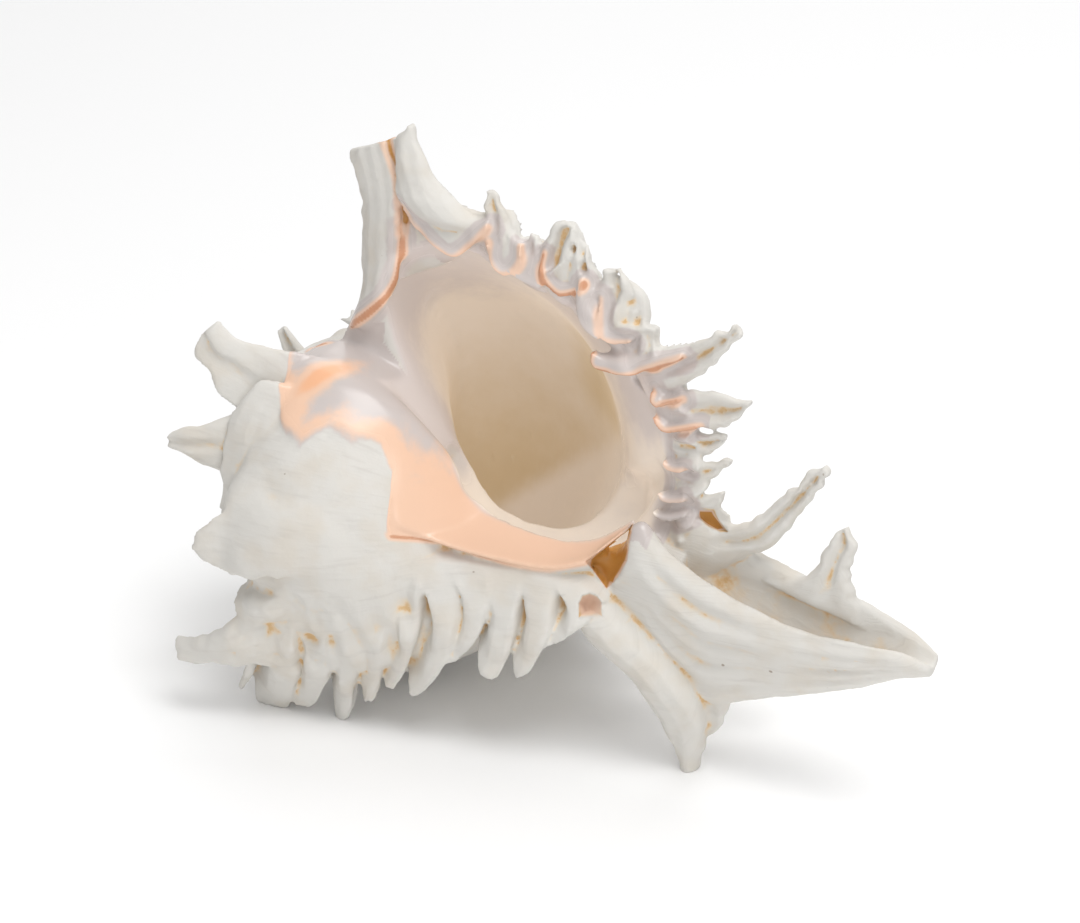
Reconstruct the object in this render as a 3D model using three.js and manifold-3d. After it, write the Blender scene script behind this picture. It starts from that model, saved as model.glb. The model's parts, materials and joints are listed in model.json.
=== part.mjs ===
// A ramose murex shell, one natural piece, lying on two of its varices with its lip standing up.
// Millimetres, +Z up. The coiling axis lies along X, with the apex at -X and the siphonal canal at +X.
// The aperture looks towards -Y. Every place on the shell is first given about the coiling axis:
// w along it from the apex, y and z across it, and back, the angle grown through since, counted from the lip.
import * as THREE from "three";
import { mergeVertices } from "three/addons/utils/BufferGeometryUtils.js";
import Module from "manifold-3d";

// Driving dimensions
const APEX = new THREE.Vector3(-80.75, -8.3, 41.2); // where the coiling axis starts, in the part's frame
const GROWTH_PER_TURN = 1.75; // how much larger the shell grows in one turn
const SPIRE_TURNS = 3; // turns of the spire above the last one
const VARIX_SPACING = 112; // degrees of growth from one varix to the next
const VARIX_HEIGHT = 3.2; // swelling along a varix
const VARIX_HALF_WIDTH = 9; // degrees
const LIP_FLARE = 6.5; // how far the lip turns outwards
const LIP_FLARE_ANGLE = 11; // degrees over which it does so
const KNOB_HEIGHT = 6; // shoulder knobs between two varices
const KNOB_HALF_WIDTH = 11; // degrees
const SPIRE_VARICES = 10; // varices behind the lip that still show
const COLUMNS = 36; // steps in one turn of the outer wall
const SHOULDER_SPREAD = 1.2; // outline points over which a knob fades
const TABLE_SIZE = 400; // block that trims the feet flat
const CHALK = 0xefe9e0;

// The whorl's outer outline at the lip, [w, radius], from the shoulder's ramp to the neck.
const OUTLINE = [
  [35.5, 37],
  [39.5, 43.5],
  [45, 48],
  [56, 50.5],
  [68, 49],
  [80, 43.5],
  [90, 34.5],
  [98, 24],
  [104, 15],
  [110, 10],
  [116, 7],
];
const SHOULDER = 2; // the outline's shoulder point
const COVER = 3; // the outline point that the next turn's suture lies on
const NECK_END = 119; // where the last turn's outline comes back to the axis

// The hollow's section, [w, radius], well inside the shell and at the flared lip.
const HOLLOW = [
  [43.5, 40.5],
  [49, 44.5],
  [58, 46.5],
  [69, 45],
  [79.5, 39.5],
  [88, 31],
  [94.5, 21],
  [97, 12.5],
  [93.5, 8],
  [84, 7],
  [74, 7],
  [65, 8],
  [58.5, 12],
  [53, 19.5],
  [48, 27],
  [44, 34],
];
const MOUTH = [
  [44, 47],
  [50, 52.5],
  [59, 54.5],
  [70, 53],
  [82, 48.5],
  [94, 42],
  [101.5, 32],
  [104, 20.5],
  [102, 9.5],
  [89, 4],
  [76, 4],
  [66, 5.5],
  [59, 9.5],
  [53, 18],
  [47.5, 26.5],
  [44, 35],
];
const HOLLOW_TURN = 300; // degrees that the hollow reaches back
const HOLLOW_STEP = 20;
const MOUTH_ANGLE = 30; // degrees behind the lip where the hollow starts to widen
const MOUTH_STEPS = [0, 0.2, 0.4, 0.7]; // shares of that angle
const MOUTH_REACH = 16; // degrees that the cut goes on in front of the lip
const MOUTH_SPREAD = 1.12; // and how far it has widened there
// Where the mouth is scooped down beside the columella: w, y and z of the middle, half width, half height.
const SCOOP = [
  [56, 4, 15, 6, 6],
  [62, 3, 9, 8, 8],
  [70, 2.5, 6, 8.5, 8],
  [90, 2, 5.8, 8.5, 7.8],
  [98, 2, 9, 7.5, 7.5],
  [104, 1, 14, 5, 5.5],
];
const SCOOP_SIDES = 8;

const radians = THREE.MathUtils.degToRad;
const growth = (back) => GROWTH_PER_TURN ** (-back / 360);

// A point given about the coiling axis, in the part's frame.
const at = (w, y, z) => new THREE.Vector3(w, y, z).add(APEX);

// A point at a radius from the axis, so many degrees of growth behind the lip. The lip stands straight up.
function around(w, radius, back) {
  const angle = radians(back);
  return at(w, radius * Math.sin(angle), radius * Math.cos(angle));
}

// Solids

const WELD = 1e-4; // points nearer than this are one
const wasm = await Module();
wasm.setup();

function solidOf(geometry) {
  const bare = new THREE.BufferGeometry();
  bare.setAttribute("position", geometry.getAttribute("position"));
  bare.setIndex(geometry.getIndex());
  const merged = mergeVertices(bare, WELD);
  const triVerts = new Uint32Array(merged.index.array);
  const vertProperties = merged.getAttribute("position").array;
  return new wasm.Manifold(new wasm.Mesh({ numProp: 3, vertProperties, triVerts }));
}

// A closed surface from triangles of points, turned to face outwards.
function closedSolid(triangles) {
  let volume = 0;
  const cross = new THREE.Vector3();
  for (const [a, b, c] of triangles) volume += cross.crossVectors(b, c).dot(a);
  const facing = volume < 0 ? triangles.map(([a, b, c]) => [a, c, b]) : triangles;
  return solidOf(new THREE.BufferGeometry().setFromPoints(facing.flat()));
}

// A solid through rings of equally many points, closed at both ends by a fan about each end ring's middle.
function loft(rings) {
  const triangles = [];
  const count = rings[0].length;
  for (let r = 0; r + 1 < rings.length; r++) {
    for (let i = 0; i < count; i++) {
      const j = (i + 1) % count;
      triangles.push([rings[r][i], rings[r][j], rings[r + 1][j]]);
      triangles.push([rings[r][i], rings[r + 1][j], rings[r + 1][i]]);
    }
  }
  for (const [ring, turned] of [[rings[0], true], [rings.at(-1), false]]) {
    const middle = new THREE.Vector3();
    for (const p of ring) middle.addScaledVector(p, 1 / count);
    for (let i = 0; i < count; i++) {
      const j = (i + 1) % count;
      triangles.push(turned ? [middle, ring[j], ring[i]] : [middle, ring[i], ring[j]]);
    }
  }
  return closedSolid(triangles);
}

// Coiled body

const bump = (x, halfWidth) => Math.exp(-((x / halfWidth) ** 2));
const varixAngles = Array.from({ length: SPIRE_VARICES }, (_, i) => (i + 1) * VARIX_SPACING);
const knobAngles = varixAngles.map((angle) => angle - VARIX_SPACING / 2);

// How far the wall swells out of the plain whorl at an outline point, before the whorl's own scale.
function swelling(back, row) {
  let height = row < SHOULDER ? 0 : LIP_FLARE * Math.exp(-back / LIP_FLARE_ANGLE);
  for (const angle of varixAngles) height += VARIX_HEIGHT * bump(back - angle, VARIX_HALF_WIDTH);
  const onShoulder = bump(row - SHOULDER, SHOULDER_SPREAD);
  for (const angle of knobAngles) height += KNOB_HEIGHT * onShoulder * bump(back - angle, KNOB_HALF_WIDTH);
  return height;
}

function wallPoint(back, row) {
  const [w, radius] = OUTLINE[row];
  const [w0, radius0] = OUTLINE[Math.max(row - 1, 0)];
  const [w1, radius1] = OUTLINE[Math.min(row + 1, OUTLINE.length - 1)];
  const outwards = new THREE.Vector2(radius0 - radius1, w1 - w0).normalize();
  const height = swelling(back, row);
  const scale = growth(back);
  return around((w + outwards.x * height) * scale, (radius + outwards.y * height) * scale, back);
}

// One line of wall points from the apex to the neck. Each turn's suture is the point of the turn before it
// that it covers, so the two always meet.
function wallLine(back, firstTurn) {
  const line = [];
  for (let turn = firstTurn; turn >= 0; turn--) {
    const age = back + 360 * turn;
    line.push(wallPoint(age + 360, COVER));
    const rows = turn > 0 ? COVER : OUTLINE.length;
    for (let row = 0; row < rows; row++) line.push(wallPoint(age, row));
  }
  return line;
}

function coiledBody() {
  const apex = at(0, 0, 0);
  const neckEnd = at(NECK_END, 0, 0);
  const triangles = [];
  const lines = [];
  for (let c = 0; c <= COLUMNS; c++) lines.push(wallLine((360 * c) / COLUMNS, SPIRE_TURNS));
  for (let c = 0; c < COLUMNS; c++) {
    const a = lines[c];
    const b = lines[c + 1];
    triangles.push([apex, a[0], b[0]]);
    for (let i = 0; i + 1 < a.length; i++) {
      triangles.push([a[i], a[i + 1], b[i + 1]]);
      triangles.push([a[i], b[i + 1], b[i]]);
    }
    triangles.push([neckEnd, b.at(-1), a.at(-1)]);
  }
  // The step at the lip: a small one at the apex, and the whole face of the mouth.
  const start = lines[0];
  const end = lines[COLUMNS];
  const turnRows = COVER + 1;
  for (let i = 0; i < turnRows; i++) triangles.push([apex, end[i], end[i + 1]]);
  const lastTurn = SPIRE_TURNS * turnRows;
  const face = [...start.slice(lastTurn), neckEnd, ...end.slice(lastTurn + turnRows + 1).reverse()];
  const flat = face.map((p) => new THREE.Vector2(p.x, p.z));
  for (const [i, j, k] of THREE.ShapeUtils.triangulateShape(flat, [])) {
    triangles.push([face[i], face[j], face[k]]);
  }
  return closedSolid(triangles);
}

// The hollow whorl inside the wall, from in front of the lip back round the columella.
function hollow() {
  const ring = (back, open) => {
    const scale = back > 0 ? growth(back) : 1;
    return HOLLOW.map(([w, radius], i) => {
      const [mouthW, mouthRadius] = MOUTH[i];
      const lerp = THREE.MathUtils.lerp;
      return around(lerp(w, mouthW, open) * scale, lerp(radius, mouthRadius, open) * scale, back);
    });
  };
  const rings = [ring(-MOUTH_REACH, MOUTH_SPREAD)];
  for (const share of MOUTH_STEPS) rings.push(ring(share * MOUTH_ANGLE, (1 - share) ** 3));
  for (let back = MOUTH_ANGLE; back <= HOLLOW_TURN; back += HOLLOW_STEP) rings.push(ring(back, 0));
  return loft(rings);
}

function scoop() {
  const rings = SCOOP.map(([w, y, z, halfWidth, halfHeight]) =>
    Array.from({ length: SCOOP_SIDES }, (_, i) => {
      const angle = radians((360 * i) / SCOOP_SIDES);
      return at(w, y + halfWidth * Math.cos(angle), z + halfHeight * Math.sin(angle));
    }),
  );
  return loft(rings);
}

// The solid pillar that the whorls turn about.
const PILLAR = [
  [30, 9],
  [55, 8.5],
  [70, 8],
  [85, 7.5],
  [98, 7],
  [110, 4],
];
const PILLAR_SIDES = 7;

function pillar() {
  const rings = PILLAR.map(([w, radius]) =>
    Array.from({ length: PILLAR_SIDES }, (_, i) => around(w, radius, (360 * i) / PILLAR_SIDES)),
  );
  return loft(rings);
}

// Fronds

// A frond's section, [across, towards its opening], as shares of its half width and half thickness.
// Its front is a gutter.
const GUTTER = [
  [-1, 0.1],
  [-0.55, 0.9],
  [0, 0.1],
  [0.55, 0.9],
  [1, 0.1],
  [0, -0.9],
];
const FROND_TAPER = [1.15, 0.9, 0.7, 0.3]; // of the half width, from root to tip
const FROND_THINNING = [1.1, 0.9, 0.75, 0.45]; // of the half thickness

// One frond from root to tip, both [w, y, z] about the axis, bowed sideways by so many millimetres.
function frond(root, tip, halfWidth, halfThickness, front, bow = 0) {
  const from = at(...root);
  const to = at(...tip);
  const along = to.clone().sub(from).normalize();
  const side = new THREE.Vector3().crossVectors(along, front).normalize();
  const facing = new THREE.Vector3().crossVectors(side, along);
  const middle = from.clone().lerp(to, 0.5).addScaledVector(side, bow);
  const path = new THREE.QuadraticBezierCurve3(from, middle, to);
  const rings = FROND_TAPER.map((taper, i) => {
    const centre = path.getPoint(i / (FROND_TAPER.length - 1));
    return GUTTER.map(([across, forward]) =>
      centre
        .clone()
        .addScaledVector(side, across * halfWidth * taper)
        .addScaledVector(facing, forward * halfThickness * FROND_THINNING[i]),
    );
  });
  return loft(rings);
}

// Each varix's fronds: root, tip, half width, half thickness, bow.
const LIP_FRONDS = [
  [[42, 4, 46], [36.5, 0, 71], 6, 4, 0],
  [[46, 8, 46], [43, 4, 69], 7, 3.5, 0],
  [[49, 4, 49], [48.5, 0, 77.5], 7, 4, 0],
  [[56, 4, 52], [57.5, 0, 64], 4.5, 3, 0],
  [[64, 4, 52], [66.8, 0, 67], 4.5, 3, 0],
  [[71, 4, 50], [74, 0, 62], 4.5, 3, 0],
  [[77, 4, 48], [81.5, 0, 64], 5, 3.5, 0],
  [[84, 4, 44], [87.5, 0, 62], 4.5, 3.5, 0],
  [[90, 4, 40], [95.5, 0, 56.5], 4.5, 3, 0],
  [[95, 4, 35], [100.5, 0, 48.5], 4, 3, 0],
  [[100, 4, 31], [119.5, 0, 50], 4.5, 3.2, 2],
  [[104, 4, 23], [122.8, 0, 36], 4.2, 3, 1.5],
  [[106, 3, 15], [117.5, 0, 22.5], 4.5, 3, 0],
];
const CANAL_FRONDS = [
  [[112, 3, 2], [138, 0, 27], 4.5, 3.2, 3],
  [[133, 1, -7], [142.8, 0, 15.5], 5, 3, 3],
];
const FRONT_FRONDS = [
  [[31, -23, -22], [14.5, -35, -27.5], 6, 4, 2],
  [[31, -21, -25], [25.5, -24, -38], 4, 3, 0],
  [[36, -21, -23], [31.5, -22, -41.5], 4, 3, 0],
  [[42, -20, -23], [40.5, -20.5, -41.5], 4, 3, 0],
  [[47, -20, -22], [47.5, -20, -38.5], 3.8, 3, 0],
  [[52, -19, -20], [54, -20, -34.5], 3.8, 3, 0],
  [[57, -18, -17], [60.5, -20, -32], 3.8, 3, 0],
  [[63, -15, -12], [67.5, -20, -27.5], 3.8, 3, 0],
  [[69, -12, -9], [74.5, -19, -24], 3.8, 3, 0],
  [[75, -9, -6], [83.5, -18, -20.5], 3.8, 3, 0],
  [[82, -7, -3], [92, -17, -14.5], 4, 3, 0],
];
const REAR_FRONDS = [
  [[38, 33, -12], [33, 53, -28], 6, 4, 2],
  [[44, 33, -13], [43, 46, -41.5], 4.5, 3.5, -3],
  [[51, 33, -13], [53, 45, -38], 4.2, 3, -2],
  [[58, 32, -13], [63, 42, -41.5], 4.5, 3.5, -3],
  [[65, 29, -11], [72, 39, -33], 4.2, 3, -2],
  [[71, 24, -9], [80, 34, -29], 4, 3, -2],
  [[76, 19, -7], [89, 28, -25], 4, 3, -1],
  [[82, 13, -5], [97, 22, -22], 4, 3, 0],
];
const SPIRE_SPINES = [
  [[29, -14, 26], [13.4, -20, 33.5], 6.5, 4.5, 1],
  [[33, -28, 0], [21, -35.5, -2.5], 9, 6, 0],
  [[22, -18, 12], [8, -25, 12.8], 6.5, 4.5, 0],
  [[24, 22, 14], [15, 30, 23], 4.2, 3.2, 1],
  [[18, 12, -13], [9, 19, -21], 3.6, 3, 0],
];
const LIP_FRONT = new THREE.Vector3(0, -1, 0);
const growthFront = (back) => new THREE.Vector3(0, -Math.cos(radians(back)), Math.sin(radians(back)));

function fronds(list, front) {
  return list.map(([root, tip, halfWidth, halfThickness, bow]) =>
    frond(root, tip, halfWidth, halfThickness, front, bow),
  );
}

// The thin wall that joins a row of fronds along its varix.
const WEB_REACH = 0.65; // how far up the fronds it goes
const WEB_HALF_THICKNESS = 2;

function web(list, front) {
  const offset = front.clone().multiplyScalar(WEB_HALF_THICKNESS);
  const rings = list.map(([root, tip]) => {
    const inner = at(...root);
    const outer = inner.clone().lerp(at(...tip), WEB_REACH);
    return [
      inner.clone().add(offset),
      outer.clone().add(offset),
      outer.clone().sub(offset),
      inner.clone().sub(offset),
    ];
  });
  return loft(rings);
}

// Siphonal canal: an open trough, its front wall a tall smooth plate.
// Each row: w, front wall's top, bottom, back wall's top, half thickness, groove depth.
const CANAL = [
  [93, 9, -7, 12, 6, 1],
  [104, 10.5, -16, 14, 8.5, 6],
  [111, 8, -23, 11, 9, 8],
  [118, 5, -26, 7.5, 8.5, 8],
  [130, 1.5, -21.5, 3.5, 7, 7],
  [144, 0.5, -16.5, 2, 5.5, 5],
  [156, -1.5, -12, 0, 4, 3],
  [161.5, -4.5, -9, -3.5, 2, 0.5],
];
const CANAL_Y = -2.5;

function canal() {
  const rings = CANAL.map(([w, front, bottom, back, half, groove]) => {
    const tall = front - bottom;
    const section = [
      [-0.8, front],
      [-1, front - 0.35 * tall],
      [-0.75, front - 0.8 * tall],
      [0, bottom],
      [0.75, front - 0.7 * tall],
      [1, front - 0.3 * tall],
      [0.8, back],
      [0.4, back - 0.2],
      [-0.1, front - groove],
      [-0.45, front - 0.1],
    ];
    return section.map(([across, z]) => at(w, CANAL_Y + across * half, z));
  });
  return loft(rings);
}

// The canals of older varices, left standing as blunt horns below the new one.
const OLD_CANALS = [
  [[90.4, -4.6, -2.7], [112.5, -3, -41.5], 8, 6, 4],
  [[96, 3, -3], [124, 15, -19], 6, 5, 0],
];

// The callus spread over the columella, standing free along its lower edge.
// Each row: w, y and z of its inner edge, then of its free edge.
const CALLUS = [
  [[54, -9, 17], [53, -19.5, 8.5]],
  [[57.5, -8, 10.5], [57.5, -20.5, 4.2]],
  [[66, -6.5, 4.6], [66.5, -18, 1.2]],
  [[77, -6.5, 2.4], [77.7, -16, 0]],
  [[87, -6.5, 2.2], [87.2, -14.5, 0]],
  [[94, -6, 3.6], [93.8, -13, 0.6]],
  [[99, -5, 6.4], [98.8, -11, 4.4]],
];
const CALLUS_THICKNESS = 2.4;

function callus() {
  const rings = CALLUS.map(([inner, free]) => {
    const down = (p, depth) => at(p[0], p[1], p[2] - depth);
    return [at(...inner), at(...free), down(free, CALLUS_THICKNESS), down(inner, 2 * CALLUS_THICKNESS)];
  });
  return loft(rings);
}

// The chink between the callus and the canal.
const CHINK = { mouth: [98.5, -13, -2], end: [92, 4, -1], halfWidth: 5, halfHeight: 5.5 };
const CHINK_TAPER = [1.3, 0.8, 0.3]; // of its half sizes, from mouth to end
const CHINK_SIDES = 6;

function chink() {
  const from = at(...CHINK.mouth);
  const to = at(...CHINK.end);
  const rings = CHINK_TAPER.map((size, step) => {
    const centre = from.clone().lerp(to, step / (CHINK_TAPER.length - 1));
    return Array.from({ length: CHINK_SIDES }, (_, i) => {
      const angle = radians((360 * i) / CHINK_SIDES);
      const across = CHINK.halfWidth * size * Math.cos(angle);
      const up = CHINK.halfHeight * size * Math.sin(angle);
      return centre.clone().add(new THREE.Vector3(across, 0, up));
    });
  });
  return loft(rings);
}

// Shell

const rearVarix = growthFront(VARIX_SPACING);
const frontVarix = growthFront(2 * VARIX_SPACING);
const additions = [
  ...fronds(LIP_FRONDS, LIP_FRONT),
  ...fronds(CANAL_FRONDS, LIP_FRONT),
  ...fronds(FRONT_FRONDS, frontVarix),
  ...fronds(REAR_FRONDS, rearVarix),
  ...fronds(SPIRE_SPINES, LIP_FRONT),
  ...fronds(OLD_CANALS, LIP_FRONT),
  web(LIP_FRONDS.slice(2), LIP_FRONT),
  web(FRONT_FRONDS.slice(1), frontVarix),
  web(REAR_FRONDS.slice(1), rearVarix),
  canal(),
  callus(),
];
const table = new THREE.BoxGeometry(TABLE_SIZE, TABLE_SIZE, TABLE_SIZE).translate(0, 0, -TABLE_SIZE / 2);
let body = coiledBody().add(pillar()).subtract(hollow()).subtract(scoop());
for (const piece of additions) body = body.add(piece);
body = body.subtract(chink()).subtract(solidOf(table));
const mesh = body.getMesh();
const geometry = new THREE.BufferGeometry();
geometry.setAttribute("position", new THREE.BufferAttribute(mesh.vertProperties, 3));
geometry.setIndex(new THREE.BufferAttribute(mesh.triVerts, 1));
const shell = new THREE.Mesh(geometry, new THREE.MeshStandardMaterial({ color: CHALK, roughness: 0.6 }));
shell.name = "shell";

const murex = new THREE.Group();
murex.add(shell);

export default murex;
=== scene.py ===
"""A branched murex shell on a pale studio floor, laid out as a Blender add-on and run as a script."""

import json
import math

import bpy
import numpy as np
from bpy.props import FloatProperty, IntProperty, PointerProperty, StringProperty
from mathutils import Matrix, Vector, kdtree, noise

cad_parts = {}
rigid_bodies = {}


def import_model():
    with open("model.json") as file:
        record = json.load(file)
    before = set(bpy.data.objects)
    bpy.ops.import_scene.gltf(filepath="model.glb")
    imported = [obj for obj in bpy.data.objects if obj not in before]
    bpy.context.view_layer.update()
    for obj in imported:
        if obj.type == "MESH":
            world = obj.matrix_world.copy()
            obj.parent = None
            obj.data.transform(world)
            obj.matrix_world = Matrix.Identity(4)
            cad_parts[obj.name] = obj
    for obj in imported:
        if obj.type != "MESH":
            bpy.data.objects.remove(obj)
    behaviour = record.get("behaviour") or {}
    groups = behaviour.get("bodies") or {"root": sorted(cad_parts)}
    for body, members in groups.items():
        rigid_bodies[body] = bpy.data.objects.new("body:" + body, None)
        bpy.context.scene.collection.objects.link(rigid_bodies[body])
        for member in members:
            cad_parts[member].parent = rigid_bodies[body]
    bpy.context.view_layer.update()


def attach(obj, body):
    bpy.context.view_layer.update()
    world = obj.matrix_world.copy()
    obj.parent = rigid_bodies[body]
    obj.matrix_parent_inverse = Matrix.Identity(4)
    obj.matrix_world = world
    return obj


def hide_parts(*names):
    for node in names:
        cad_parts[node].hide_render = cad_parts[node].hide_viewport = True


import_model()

bl_info = {
    "name": "Murex shell",
    "version": (1, 0, 0),
    "blender": (4, 5, 0),
    "location": "3D View > Sidebar > Murex",
    "description": "Builds a branched murex shell, its finish and a studio stage",
    "category": "Add Mesh",
}

MM = 0.001
WELD = 1e-6  # metres within which two points are one
FAR = 99.0  # millimetres, for a distance that wasn't measured

# Shell frame
# A place on the shell is given about the coiling axis in millimetres: w along it from the apex, and either
# y and z across it or a radius and back, the degrees of growth counted backwards from the lip.

APEX = np.array([-80.75, -8.3, 41.2])
COVER_W = 56.0  # where on a whorl the next one's suture lies
NECK_END = 119.0
SPIRE_TURNS = 4
WALL_ROWS = 120
WALL_COLUMNS = 300  # in one turn
OLD_VARICES = 10
VARIX_HALF_WIDTH = 9  # degrees
LIP_FLARE_ANGLE = 11  # degrees behind the lip over which its flare fades
SHOULDER_W = 45
KNOB_SPREAD = 7
KNOB_HALF_WIDTH = 11  # degrees
CORD_HALF_WIDTH = 2.1
CALLUS_THICKNESS = 0.9

# The whorl's outer outline at the lip, (w, radius).
OUTLINE = [
    (35.5, 37), (39.5, 43.5), (45, 48), (56, 50.5), (68, 49), (80, 43.5), (90, 34.5), (98, 24),
    (104, 15), (110, 10), (116, 7),
]
# The hollow's section deep inside and at the flared lip, (w, radius), the same points in the same order.
HOLLOW = [
    (43.5, 40.5), (49, 44.5), (58, 46.5), (69, 45), (79.5, 39.5), (88, 31), (94.5, 21), (97, 12.5),
    (93.5, 8), (84, 7), (74, 7), (65, 8), (58.5, 12), (53, 19.5), (48, 27), (44, 34),
]
MOUTH = [
    (44, 47), (50, 52.5), (59, 54.5), (70, 53), (82, 48.5), (94, 42), (101.5, 32), (104, 20.5),
    (102, 9.5), (89, 3), (76, 2.5), (66, 4.5), (59, 9.5), (53, 18), (47.5, 26.5), (44, 35),
]
HOLLOW_SIDES = 96
HOLLOW_TURN = 300  # degrees that the hollow goes back
MOUTH_ANGLE = 40  # degrees behind the lip where it starts to widen
MOUTH_REACH = 16  # degrees that its cut goes on in front of the lip
CLEAR_FROM = 26  # degrees behind the lip from where nothing may stand into it
# Where the mouth is scooped down beside the columella: w, y and z of the middle, half width and half height.
SCOOP = [
    (56, 4, 15, 6, 6), (62, 3, 9, 8, 8), (70, 2.5, 6, 8.5, 8), (80, 2, 5, 8.5, 7.8), (90, 2, 5.8, 8.5, 7.8),
    (97, 2, 8, 8, 7.2), (103, 1.5, 13, 6.5, 6.2), (107, 1, 18, 4, 4),
]
# The columella, (w, radius).
PILLAR = [(30, 9), (55, 8.5), (70, 6.5), (85, 6), (98, 6.5), (110, 4)]

# Spiral cords, as w on the outline at the lip. Each ends in a frond on every varix.
CORDS = [45, 50.5, 57, 64, 71, 77.5, 84, 90, 95.5, 100.5, 105]

# The edge of the callus on the body whorl: w on the shell, and back along it.
CALLUS_EDGE = [
    (26, 352), (28.8, 340), (29.6, 328), (30.4, 322), (33.3, 312), (38.9, 306), (43.2, 315), (47.3, 314),
    (51.7, 317), (55, 309), (56.2, 294), (57, 283), (65, 272), (78, 262), (92, 250), (120, 250),
]

# Fronds: root and tip as (w, y, z), half width, half thickness, bow, and how many side twigs.
REAR_FRONDS = [
    ((38, 33, -12), (33, 53, -28), 6, 4, 2, 2),
    ((44, 33, -13), (43, 46, -41.8), 4.5, 3.5, -3, 1),
    ((51, 33, -13), (53, 45, -38), 4.2, 3, -2, 1),
    ((58, 32, -13), (63, 42, -41.8), 4.5, 3.5, -3, 1),
    ((65, 29, -11), (72, 39, -33), 4.2, 3, -2, 1),
    ((71, 24, -9), (80, 34, -29), 4, 3, -2, 1),
    ((76, 19, -7), (89, 28, -25), 4, 3, -1, 1),
    ((82, 13, -5), (97, 22, -22), 4, 3, 0, 1),
]
SPIRE_SPINES = [
    ((19, 8, 16), (13.5, 5.5, 26), 2.6, 2.2, 0, 0),
    ((24, 22, 14), (15, 30, 23), 4.2, 3.2, 1, 1),
    ((18, 12, -13), (9, 19, -21), 3.6, 3, 0, 0),
    ((30, 14, -33), (22, 18, -40), 4.4, 3.4, 0, 0),
]
OLD_CANALS = [
    ((96, 3, -3), (124, 15, -19), 6, 5, 0, 0),
]

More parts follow.
